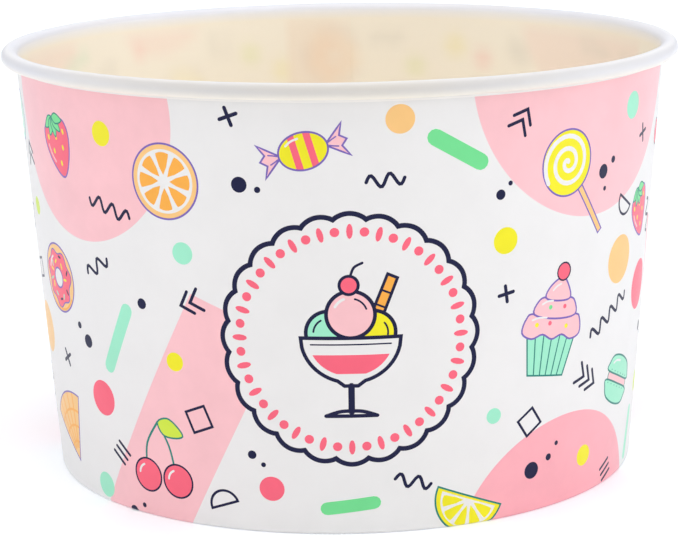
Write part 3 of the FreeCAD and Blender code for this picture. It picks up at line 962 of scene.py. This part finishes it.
verts = [pos_a]
faces, face_ink, loop_normals = [], [], []
for t, ink in zip(tris, ink_of):
    faces.append([int(alias[v]) for v in t])
    face_ink.append(int(ink))
loop_normals.append(nor_a[tris].reshape(-1, 3))
EDGE_SLOT = 1 + len(INK_NAMES)
FOOD_SLOT = EDGE_SLOT + 1
LIT_STRIP_SLOT = FOOD_SLOT + 1  # the bare strip under the roll that the print stops short of; its lighter board colour is painted light where the roll's shade falls

flat_faces, flat_slots, flat_look = [], [], []  # cut edges: faces with one normal, and the way each faces


def zipper(l_ids, r_ids, look):
    i = j = 0
    while i < len(l_ids) - 1 or j < len(r_ids) - 1:
        step_l = j == len(r_ids) - 1 or (i < len(l_ids) - 1 and s_a[l_ids[i + 1]] <= s_a[r_ids[j + 1]])
        new = l_ids[i + 1] if step_l else r_ids[j + 1]
        tri = [int(alias[l_ids[i]]), int(alias[r_ids[j]]), int(alias[new])]
        if len(set(tri)) == 3:
            flat_faces.append(tri)
            flat_slots.append(EDGE_SLOT)
            flat_look.append(look)
        if step_l:
            i += 1
        else:
            j += 1


# runs of open points on the cut edge
run_start = None
for k in range(len(rid)):
    if open_r[k] and run_start is None:
        run_start = k - 1
    if run_start is not None and not open_r[k]:
        r_ids = rid[run_start : k + 1]
        lo_s, hi_s = s_a[r_ids[0]], s_a[r_ids[-1]]
        l_ids = lid[(s_a[lid] >= lo_s - 2e-3) & (s_a[lid] <= hi_s + 2e-3)]
        a = math.radians(LAP_OUT_DEG)
        zipper(l_ids, r_ids, (-math.sin(a), math.cos(a), 0.0))
        run_start = None

# ---- the food side, a regular grid -------------------------------------------------------------
base = len(pos_a)
deg_b = cols[:N]
k_in = int(np.argmin(np.abs((deg_b - LAP_IN_DEG + 180) % 360 - 180)))
gd, gs = np.meshgrid(deg_b, rows_b, indexing="ij")
none = np.zeros(gd.size, bool)
pos_b = place(side_b, -1, gd.ravel(), gs.ravel(), none)
nor_b = normals(side_b, -1, gd.ravel(), gs.ravel(), none, 0.0, side_b.marks["end"])
yes = np.ones(len(rows_b), bool)
pos_x = place(side_b, -1, np.full(len(rows_b), deg_b[k_in]), rows_b, yes)
nor_x = normals(side_b, -1, np.full(len(rows_b), deg_b[k_in]), rows_b, yes, 0.0, side_b.marks["end"])
M = len(rows_b)


def b_id(i, j):
    return base + (i % N) * M + j


pos_plus = pos_b.reshape(N, M, 3)[k_in]
open_b = np.linalg.norm(pos_x - pos_plus, axis=1) > 1e-6
extra = base + N * M


def b_before(j):
    return extra + j if open_b[j] else b_id(k_in, j)


quads, quad_normals = [], []
nb = nor_b.reshape(N, M, 3)
for i in range(N):
    i1 = (i + 1) % N
    cut_here = i1 == k_in
    for j in range(M - 1):
        a, b = b_id(i, j), b_id(i, j + 1)
        d, c = (b_before(j), b_before(j + 1)) if cut_here else (b_id(i1, j), b_id(i1, j + 1))
        quads.append([a, b, c, d])
        n_d, n_c = (nor_x[j], nor_x[j + 1]) if cut_here else (nb[i1, j], nb[i1, j + 1])
        quad_normals += [nb[i, j], nb[i, j + 1], n_c, n_d]
a_in = math.radians(LAP_IN_DEG)
for j in range(M - 1):
    ring_ = [b_id(k_in, j), b_before(j), b_before(j + 1), b_id(k_in, j + 1)]
    poly = []
    for v in ring_:
        if v not in poly:
            poly.append(v)
    if len(poly) >= 3:
        flat_faces.append(poly)
        flat_slots.append(FOOD_SLOT)
        flat_look.append((math.sin(a_in), -math.cos(a_in), 0.0))

# ---- the two cut edges that close the section ------------------------------------------------------


def row_ids(y_target):
    ids = np.nonzero(np.abs(s_a - y_target) < 2e-3)[0]
    return ids[np.argsort(deg_a[ids])]


for y_target, j_b in ((0.0, 0), (A_END, M - 1)):
    ids = row_ids(y_target)
    if len(ids) != N + 1:
        print("edge row has", len(ids), "points, wanted", N + 1)
    r_, z_, tr_, tz_ = side_a.at_length(np.array([y_target]))
    sign = -1.0 if j_b == 0 else 1.0
    for i in range(N):
        a0_, a1_ = int(alias[ids[i]]), int(alias[ids[i + 1]])
        ang = math.radians((cols[i] + cols[i + 1]) / 2)
        flat_faces.append([a0_, a1_, b_id(i + 1, j_b), b_id(i, j_b)])
        flat_slots.append(EDGE_SLOT)
        flat_look.append((sign * tr_[0] * math.cos(ang), sign * tr_[0] * math.sin(ang), sign * tz_[0]))

all_pos = np.vstack([pos_a, pos_b, pos_x]) * MM

# triangles of the printed side face outward
tri_arr = np.array(faces)
p0, p1, p2 = (all_pos[tri_arr[:, k]] for k in range(3))
fn = np.cross(p1 - p0, p2 - p0)
turned = (fn * nor_a[tris].mean(1)).sum(1) < 0
ln = nor_a[tris]
tri_arr[turned] = tri_arr[turned][:, ::-1]
ln[turned] = ln[turned][:, ::-1]
size2 = np.linalg.norm(fn, axis=1)
sound = (tri_arr[:, 0] != tri_arr[:, 1]) & (tri_arr[:, 1] != tri_arr[:, 2]) & (tri_arr[:, 0] != tri_arr[:, 2])
print("flat triangles left out:", int((~sound).sum()), "least area mm2:", float(size2[sound].min() * 1e6 / 2))
tri_slot = np.where(mid[:, 1] > PRINT_HI, LIT_STRIP_SLOT, ink_of)
tri_arr, ln, tri_slot = tri_arr[sound], ln[sound], tri_slot[sound]

quad_arr = np.array(quads)
qn = np.array(quad_normals).reshape(-1, 4, 3)
p0, p1, p2, p3 = (all_pos[quad_arr[:, k]] for k in range(4))
fq = np.cross(p2 - p0, p3 - p1)
turned = (fq * qn.mean(1)).sum(1) < 0
quad_arr[turned] = quad_arr[turned][:, ::-1]
qn[turned] = qn[turned][:, ::-1]

poly_list = [list(map(int, t)) for t in tri_arr] + [list(map(int, q)) for q in quad_arr]
slots = list(tri_slot) + [FOOD_SLOT] * len(quad_arr)
normal_list = [ln.reshape(-1, 3), qn.reshape(-1, 3)]
edge_normals = []
for poly, slot, look in zip(flat_faces, flat_slots, flat_look):
    q = all_pos[poly]
    n = np.zeros(3)
    for k in range(1, len(poly) - 1):
        n += np.cross(q[k] - q[0], q[k + 1] - q[0])
    if n @ np.array(look) < 0:
        poly = poly[::-1]
        n = -n
    n = n / max(np.linalg.norm(n), 1e-15) if np.linalg.norm(n) > 1e-16 else np.array(look)
    poly_list.append(poly)
    slots.append(slot)
    edge_normals += [n] * len(poly)
normal_list.append(np.array(edge_normals))

used = np.zeros(len(all_pos), bool)
for poly in poly_list:
    used[poly] = True
renumber = np.cumsum(used) - 1
poly_list = [[int(renumber[v]) for v in poly] for poly in poly_list]

mesh = bpy.data.meshes.new("printed_wall")
mesh.from_pydata([tuple(p) for p in all_pos[used]], [], poly_list)
mesh.update()
mesh.polygons.foreach_set("material_index", np.array(slots, dtype=np.int32))
mesh.polygons.foreach_set("use_smooth", np.ones(len(poly_list), bool))


# ---- what shows through the board on the food side, painted into its colour as light through the board ---
step = 0.5
nx, ny = int((X_HI - X_LO) / step), int((PRINT_HI + 1.0) / step)
cx = X_LO + (np.arange(nx) + 0.5) * (X_HI - X_LO) / nx
cy = (np.arange(ny) + 0.5) * step
mx, my = np.meshgrid(cx, cy, indexing="ij")
picked = inks_at(np.stack([mx.ravel(), my.ravel()], -1))
palette = np.array([(1.0, 1.0, 1.0)] + [INKS[n] for n in INK_NAMES])
picture = palette[picked].reshape(nx, ny, 3)
for _ in range(3):
    picture = (np.roll(picture, 1, 0) + picture + np.roll(picture, -1, 0)) / 3
    up = np.concatenate([picture[:, 1:], picture[:, -1:]], 1)
    down = np.concatenate([picture[:, :1], picture[:, :-1]], 1)
    picture = (picture + up + down) / 3


def shine_through(deg, up):
    x = (np.radians(deg) * K - X_LO) % (X_HI - X_LO) / (X_HI - X_LO) * nx - 0.5
    y = np.clip(up / step - 0.5, 0, ny - 1.001)
    i0 = np.floor(x).astype(int)
    fx = (x - i0)[:, None]
    j0 = y.astype(int)
    fy = (y - j0)[:, None]
    i0, i1 = i0 % nx, (i0 + 1) % nx
    return (picture[i0, j0] * (1 - fx) + picture[i1, j0] * fx) * (1 - fy) + (picture[i0, j0 + 1] * (1 - fx) + picture[i1, j0 + 1] * fx) * fy


def food_side_painted_light(deg, s):
    """Painted light and shade of the food side, as a tint: 1 is the plain board."""
    up = s - side_b.marks["wall0"]
    fade = (smooth((up - 6.0) / 1.5) * smooth((side_b.marks["roll0"] - 0.6 - s) / 1.6))[:, None]
    through = shine_through(deg, up)
    # painted light: the print shows faintly on the food side, as light coming through the board would show it
    tint = 1.0 - 0.20 * (1.0 - through)
    # painted shade: where the lap doubles the board it is darker, as less light comes through two boards
    d = (deg - LAP_IN_DEG) % 360.0
    double = (0.35 + 0.65 * smooth(d / 4.5)) * smooth((LAP_OUT_DEG - LAP_IN_DEG + 0.5 - d) / 1.0)
    double = np.where(d > LAP_OUT_DEG - LAP_IN_DEG + 0.5, 0.0, double)[:, None]
    tint = tint * (1.0 - double * np.array([0.02, 0.075, 0.10]))
    # painted shade all round the roll: darkest over its outer face, lighter again towards its lower edge
    phi = np.interp(s, [side_b.marks["roll0"], side_b.marks["roll1"], side_b.marks["roll2"]], [0.0, 180.0, 360.0])
    roll_shade = np.interp(phi, [4, 18, 72, 92, 108, 130, 152, 172, 192, 216, 238], [0, 0.16, 0.16, 0.14, 0.21, 0.35, 0.37, 0.34, 0.27, 0.18, 0.10])[:, None]
    shade_warmth = smooth((phi - 80.0) / 30.0)[:, None]
    front_and_back = np.sin(np.radians(deg))[:, None] ** 2  # painted shade: the band is stronger and warmer at the front and back of the cup than at its sides
    roll_shade = roll_shade * (1.0 - shade_warmth * (1.0 - front_and_back) * 0.42)
    shade_warmth = shade_warmth * (0.35 + 0.65 * front_and_back)
    return (1.0 + (tint - 1.0) * fade) * (1.0 - roll_shade * (np.array([1.08, 1.0, 0.66]) * (1 - shade_warmth) + np.array([0.96, 1.02, 1.12]) * shade_warmth))


tint_all = np.ones((len(all_pos), 4), np.float32)
tint_all[base : base + N * M, :3] = food_side_painted_light(gd.ravel(), gs.ravel())
tint_all[extra : extra + M, :3] = food_side_painted_light(np.full(M, deg_b[k_in] - 1e-3), rows_b)
tint_layer = mesh.color_attributes.new("through_board", "FLOAT_COLOR", "POINT")
tint_layer.data.foreach_set("color", tint_all[used].ravel())


# ---- materials ------------------------------------------------------------------------------------
def new_material(name):
    mat = bpy.data.materials.new(name)
    mat.use_nodes = True
    nt = mat.node_tree
    nt.nodes.clear()
    out = nt.nodes.new("ShaderNodeOutputMaterial")
    bsdf = nt.nodes.new("ShaderNodeBsdfPrincipled")
    nt.links.new(bsdf.outputs["BSDF"], out.inputs["Surface"])
    return mat, nt, bsdf


def noise(nt, coords, scale, detail=3.0, rough=0.5):
    n = nt.nodes.new("ShaderNodeTexNoise")
    n.inputs["Scale"].default_value = scale
    n.inputs["Detail"].default_value = detail
    n.inputs["Roughness"].default_value = rough
    nt.links.new(coords, n.inputs["Vector"])
    return n.outputs["Fac"]


def span(nt, value, lo, hi, a=0.0, b=1.0):
    m = nt.nodes.new("ShaderNodeMapRange")
    for name, v in (("From Min", a), ("From Max", b), ("To Min", lo), ("To Max", hi)):
        m.inputs[name].default_value = v
    nt.links.new(value, m.inputs["Value"])
    return m.outputs["Result"]


def paper_surface(nt, bsdf, rough_lo, rough_hi, grain=1.0, coat=0.0):
    """Clay-coated board: a faint unevenness under the coating, finer fibre grain, and patchy gloss."""
    tc = nt.nodes.new("ShaderNodeTexCoord").outputs["Object"]
    broad = noise(nt, tc, 420.0, 3.0, 0.55)
    fine = noise(nt, tc, 2600.0, 4.0, 0.6)
    b1 = nt.nodes.new("ShaderNodeBump")
    b1.inputs["Strength"].default_value = 0.35 * grain
    b1.inputs["Distance"].default_value = 0.00006
    nt.links.new(broad, b1.inputs["Height"])
    b2 = nt.nodes.new("ShaderNodeBump")
    b2.inputs["Strength"].default_value = 0.45 * grain
    b2.inputs["Distance"].default_value = 0.000018
    nt.links.new(fine, b2.inputs["Height"])
    nt.links.new(b1.outputs["Normal"], b2.inputs["Normal"])
    nt.links.new(b2.outputs["Normal"], bsdf.inputs["Normal"])
    nt.links.new(span(nt, fine, rough_lo, rough_hi, 0.3, 0.7), bsdf.inputs["Roughness"])
    bsdf.inputs["Specular IOR Level"].default_value = 0.26
    if coat:
        bsdf.inputs["Specular IOR Level"].default_value = 0.14
        bsdf.inputs["Coat Weight"].default_value = coat
        bsdf.inputs["Coat Roughness"].default_value = 0.3
    return tc, broad, fine


def mix_colour(nt, fac, a, b, kind="MIX"):
    m = nt.nodes.new("ShaderNodeMix")
    m.data_type = "RGBA"
    m.blend_type = kind
    for sock, v in (("Factor", fac), ("A", a), ("B", b)):
        ins = [i for i in m.inputs if i.name == sock and (i.type == "VALUE" if sock == "Factor" else i.type == "RGBA")][0]
        if hasattr(v, "links"):
            nt.links.new(v, ins)
        elif sock == "Factor":
            ins.default_value = v
        else:
            ins.default_value = (*v, 1.0)
    return [o for o in m.outputs if o.type == "RGBA"][0]


def mottled(nt, bsdf, tc, colour, depth):
    """A colour that varies a little over the surface, as coating and ink do on board."""
    patch = noise(nt, tc, 170.0, 3.0, 0.6)
    lo, hi = (tuple(c * f for c in colour) for f in (1.0 - depth, 1.0 + depth))
    nt.links.new(mix_colour(nt, span(nt, patch, 0.0, 1.0, 0.32, 0.68), lo, hi), bsdf.inputs["Base Color"])


BOARD = (0.752, 0.738, 0.728)
ROLLED = (0.885, 0.885, 0.90)
# painted light: the bare strip under the roll is lighter than the board, against the shade under the roll
LIT_STRIP = (0.845, 0.825, 0.795)
IVORY = (0.95, 0.885, 0.755)

board, nt, bsdf = new_material("coated_board")
tc, broad, fine = paper_surface(nt, bsdf, 0.34, 0.46, 1.0, 0.2)
mottled(nt, bsdf, tc, BOARD, 0.012)
mesh.materials.append(board)

for name in INK_NAMES:
    mat, nt, bsdf = new_material("ink_" + name)
    tc, broad, fine = paper_surface(nt, bsdf, 0.32, 0.43, 0.9, 0.2)
    mottled(nt, bsdf, tc, [INK_DEPTH * c for c in INKS[name]], 0.028)
    mesh.materials.append(mat)

cut, nt, bsdf = new_material("cut_board_edge")
tc, broad, fine = paper_surface(nt, bsdf, 0.75, 0.9, 2.2)
bsdf.inputs["Specular IOR Level"].default_value = 0.25
nt.links.new(mix_colour(nt, span(nt, fine, 0.0, 1.0, 0.3, 0.7), (0.50, 0.44, 0.35), (0.66, 0.60, 0.50)), bsdf.inputs["Base Color"])
mesh.materials.append(cut)

food, nt, bsdf = new_material("food_side_board")
tc, broad, fine = paper_surface(nt, bsdf, 0.34, 0.46)
attr = nt.nodes.new("ShaderNodeAttribute")
attr.attribute_name = "through_board"
sep = nt.nodes.new("ShaderNodeSeparateXYZ")
nt.links.new(tc, sep.inputs["Vector"])
# partly painted light: white on the roll and cream lower down the food side, the cream standing in part for warm light
# through the board
depth = span(nt, sep.outputs["Z"], 1.0, 0.0, 0.0580, 0.0593)
tone = mix_colour(nt, depth, ROLLED, IVORY)
cloud = noise(nt, tc, 55.0, 2.0, 0.5)
tone = mix_colour(nt, span(nt, cloud, 0.0, 0.22, 0.35, 0.7), tone, (0.935, 0.865, 0.73))
nt.links.new(mix_colour(nt, 1.0, tone, attr.outputs["Color"], "MULTIPLY"), bsdf.inputs["Base Color"])
mesh.materials.append(food)

# the bare strip under the roll, with a lighter colour that is painted light against the roll's shade
lit_strip, nt, bsdf = new_material("bare_strip_painted_light")
tc, broad, fine = paper_surface(nt, bsdf, 0.5, 0.62)
mottled(nt, bsdf, tc, LIT_STRIP, 0.015)
mesh.materials.append(lit_strip)

wall = bpy.data.objects.new("printed_wall", mesh)
bpy.context.scene.collection.objects.link(wall)
mesh.normals_split_custom_set([tuple(v) for v in np.vstack(normal_list)])
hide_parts("side_wall")
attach(wall, "root")

print("wall:", len(mesh.vertices), "points", sum(len(p) - 2 for p in poly_list), "triangles")

# ---- base disc ---------------------------------------------------------------------------------------
low = FLOOR_TOP - T_BASE
top_c = Course(on_wall(SKIRT_BOTTOM, T_WALL))
top_c.bend(on_wall(FLOOR_TOP, T_WALL), (0.0, FLOOR_TOP), SKIRT_BEND_R)
top_c.mark("disc")
top_c.line((0.0, FLOOR_TOP))
low_c = Course(on_wall(SKIRT_BOTTOM, D_HEM))
low_c.bend(on_wall(low, D_HEM), (0.0, low), SKIRT_BEND_R - T_BASE)
low_c.mark("disc")
low_c.line((0.0, low))
CRIMPS = 96
cols_d = np.linspace(0, 360, CRIMPS * 6 + 1)[:-1]


def disc_rows(course):
    rows = [0.0, 0.6, 3.0, course.segs[1][1]]
    s0, length = course.segs[1][1], course.segs[1][2]
    rows += [s0 + length * k / 6 for k in range(1, 7)]
    end = course.total
    rows += [course.marks["disc"] + d for d in (0.35, 0.7, 1.2, 1.7, 2.0, 2.3, 2.6, 2.9, 3.2, 3.6, 4.2)]
    rows += list(np.linspace(course.marks["disc"] + 8.0, end - 0.6, 7))
    return np.array(rows)


def disc_points(course, rows, top):
    gd_, gs_ = np.meshgrid(cols_d, rows, indexing="ij")
    r_, z_, tr_, tz_ = course.at_length(gs_.ravel())
    a = np.radians(gd_.ravel())
    from_bend = gs_.ravel() - course.marks["disc"]
    crimp = 0.5 + 0.5 * np.cos(a * CRIMPS + 0.9 * np.sin(a * 7))
    deep = smooth((from_bend + 0.9) / 0.7) * smooth((1.9 - from_bend) / 1.4)
    z_ = z_ - 0.035 * crimp * deep
    ring_ = np.exp(-(((from_bend - 2.6) / 0.42) ** 2))
    z_ = z_ - 0.07 * ring_
    pts_ = np.stack([r_ * np.cos(a), r_ * np.sin(a), z_], -1)
    return pts_


rt, rl = disc_rows(top_c), disc_rows(low_c)
pt, pl = disc_points(top_c, rt, True), disc_points(low_c, rl, False)
ND, MT, ML = len(cols_d), len(rt), len(rl)
d_pos = np.vstack([pt, pl, [[0, 0, FLOOR_TOP]], [[0, 0, low]]])
t_id = lambda i, j: (i % ND) * MT + j
l_id = lambda i, j: ND * MT + (i % ND) * ML + j
ct, cl = ND * (MT + ML), ND * (MT + ML) + 1
d_faces = []
for i in range(ND):
    for j in range(MT - 1):
        d_faces.append([t_id(i, j), t_id(i + 1, j), t_id(i + 1, j + 1), t_id(i, j + 1)])
    d_faces.append([t_id(i, MT - 1), t_id(i + 1, MT - 1), ct])
    for j in range(ML - 1):
        d_faces.append([l_id(i, j + 1), l_id(i + 1, j + 1), l_id(i + 1, j), l_id(i, j)])
    d_faces.append([cl, l_id(i + 1, ML - 1), l_id(i, ML - 1)])
    d_faces.append([l_id(i, 0), l_id(i + 1, 0), t_id(i + 1, 0), t_id(i, 0)])
dmesh = bpy.data.meshes.new("base_board")
dmesh.from_pydata([tuple(p) for p in d_pos * MM], [], d_faces)
dmesh.update()
dmesh.polygons.foreach_set("use_smooth", np.ones(len(d_faces), bool))
dmat, nt, bsdf = new_material("base_board")
tc, broad, fine = paper_surface(nt, bsdf, 0.34, 0.48)
tone = mix_colour(nt, span(nt, noise(nt, tc, 70.0, 2.0, 0.5), 0.0, 1.0, 0.3, 0.7), (0.73, 0.69, 0.615), (0.765, 0.73, 0.655))
nt.links.new(tone, bsdf.inputs["Base Color"])
dmesh.materials.append(dmat)
disc = bpy.data.objects.new("base_board", dmesh)
bpy.context.scene.collection.objects.link(disc)
dmesh.set_sharp_from_angle(angle=math.radians(40))
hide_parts("base_disc")
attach(disc, "root")

# ---- floor, light and camera ---------------------------------------------------------------------------
# it has a round hole under the cup, and from below it is clear, so that the underside can be seen
floor_mesh = bpy.data.meshes.new("floor")
FN = 96
fpts = [(0.0407 * math.cos(i * 2 * math.pi / FN), 0.0407 * math.sin(i * 2 * math.pi / FN), 0.0) for i in range(FN)]
for i in range(FN):
    c, s = math.cos(i * 2 * math.pi / FN), math.sin(i * 2 * math.pi / FN)
    far = 6.0 / max(abs(c), abs(s))
    fpts.append((far * c, far * s, 0.0))
floor_mesh.from_pydata(fpts, [], [(i, FN + i, FN + (i + 1) % FN, (i + 1) % FN) for i in range(FN)])
floor = bpy.data.objects.new("floor", floor_mesh)
bpy.context.scene.collection.objects.link(floor)
fmat, nt, bsdf = new_material("floor")
bsdf.inputs["Base Color"].default_value = (0.845, 0.86, 0.89, 1)
bsdf.inputs["Roughness"].default_value = 0.9
bsdf.inputs["Emission Color"].default_value = (0.915, 0.953, 1.0, 1)
away = nt.nodes.new("ShaderNodeVectorMath")
away.operation = "LENGTH"
nt.links.new(nt.nodes.new("ShaderNodeTexCoord").outputs["Object"], away.inputs[0])
nt.links.new(span(nt, away.outputs["Value"], 0.20, 0.80, 0.45, 0.95), bsdf.inputs["Emission Strength"])
bsdf.inputs["Specular IOR Level"].default_value = 0.1
clear = nt.nodes.new("ShaderNodeBsdfTransparent")
below = nt.nodes.new("ShaderNodeNewGeometry")
either = nt.nodes.new("ShaderNodeMixShader")
nt.links.new(below.outputs["Backfacing"], either.inputs["Fac"])
nt.links.new(bsdf.outputs["BSDF"], either.inputs[1])
nt.links.new(clear.outputs["BSDF"], either.inputs[2])
nt.links.new(either.outputs["Shader"], [n for n in nt.nodes if n.bl_idname == "ShaderNodeOutputMaterial"][0].inputs["Surface"])
floor_mesh.materials.append(fmat)

scene = bpy.context.scene
world = bpy.data.worlds.new("studio")
scene.world = world
world.use_nodes = True
wn = world.node_tree
wn.nodes.clear()
wo = wn.nodes.new("ShaderNodeOutputWorld")
bg = wn.nodes.new("ShaderNodeBackground")
bg.inputs["Color"].default_value = (1.0, 0.985, 0.965, 1)
# light comes up from below as well, to show the underside; the floor keeps it from the rest
aim = wn.nodes.new("ShaderNodeTexCoord")
split = wn.nodes.new("ShaderNodeSeparateXYZ")
wn.links.new(aim.outputs["Generated"], split.inputs["Vector"])
wn.links.new(span(wn, split.outputs["Z"], 0.95, 0.36, -0.05, 0.0), bg.inputs["Strength"])
# past the floor's far edge the studio wall shows white
wall_white = wn.nodes.new("ShaderNodeBackground")
wall_white.inputs["Color"].default_value = (1.0, 1.0, 1.0, 1)
seen = wn.nodes.new("ShaderNodeLightPath")
pick = wn.nodes.new("ShaderNodeMixShader")
wn.links.new(seen.outputs["Is Camera Ray"], pick.inputs["Fac"])
wn.links.new(bg.outputs["Background"], pick.inputs[1])
wn.links.new(wall_white.outputs["Background"], pick.inputs[2])
wn.links.new(pick.outputs["Shader"], wo.inputs["Surface"])


def area_light(name, at, look, size, power, colour=(1, 1, 1), size_y=None):
    data = bpy.data.lights.new(name, "AREA")
    data.shape = "RECTANGLE"
    data.size, data.size_y = size, size_y or size
    data.energy = power
    data.color = colour
    ob = bpy.data.objects.new(name, data)
    scene.collection.objects.link(ob)
    ob.location = at
    ob.rotation_euler = (Vector(look) - Vector(at)).to_track_quat("-Z", "Y").to_euler()
    return ob


area_light("left_softbox", (-0.85, -0.10, 0.30), (0, 0, 0.04), 0.7, 1.9, (0.86, 0.91, 1.0), 0.6)
area_light("right_softbox", (0.85, -0.08, 0.30), (0, 0, 0.04), 0.7, 3.1, (0.89, 0.93, 1.0), 0.6)
area_light("top_softbox", (0.0, -0.16, 1.4), (0, 0, 0.05), 1.5, 15.0, (1.0, 0.985, 0.965), 1.5)
area_light("back_softbox", (0.0, 1.5, 0.7), (0, 0, 0.04), 1.6, 4.0, (0.90, 0.94, 1.0), 1.0)
area_light("front_softbox", (0.0, -1.5, 0.75), (0, 0, 0.04), 1.6, 6.0, (1.0, 0.985, 0.965), 1.0)

cam_data = bpy.data.cameras.new("camera")
cam_data.sensor_fit = "HORIZONTAL"
cam_data.sensor_width = 36.0
cam_data.lens = 2357.0 * 36.0 / 680.0
cam_data.clip_start, cam_data.clip_end = 0.02, 30.0
cam = bpy.data.objects.new("camera", cam_data)
scene.collection.objects.link(cam)
cam.matrix_world = (
    Matrix.Translation((0.0, -0.336, 0.1006))
    @ Matrix.Rotation(0.0012, 4, "Z")
    @ Matrix.Rotation(math.pi / 2 - 0.2167, 4, "X")
    @ Matrix.Rotation(-0.0158, 4, "Z")
)
scene.camera = cam
scene.view_settings.view_transform = "Standard"
scene.view_settings.look = "None"
scene.view_settings.exposure = 0.0
scene.view_settings.gamma = 1.0
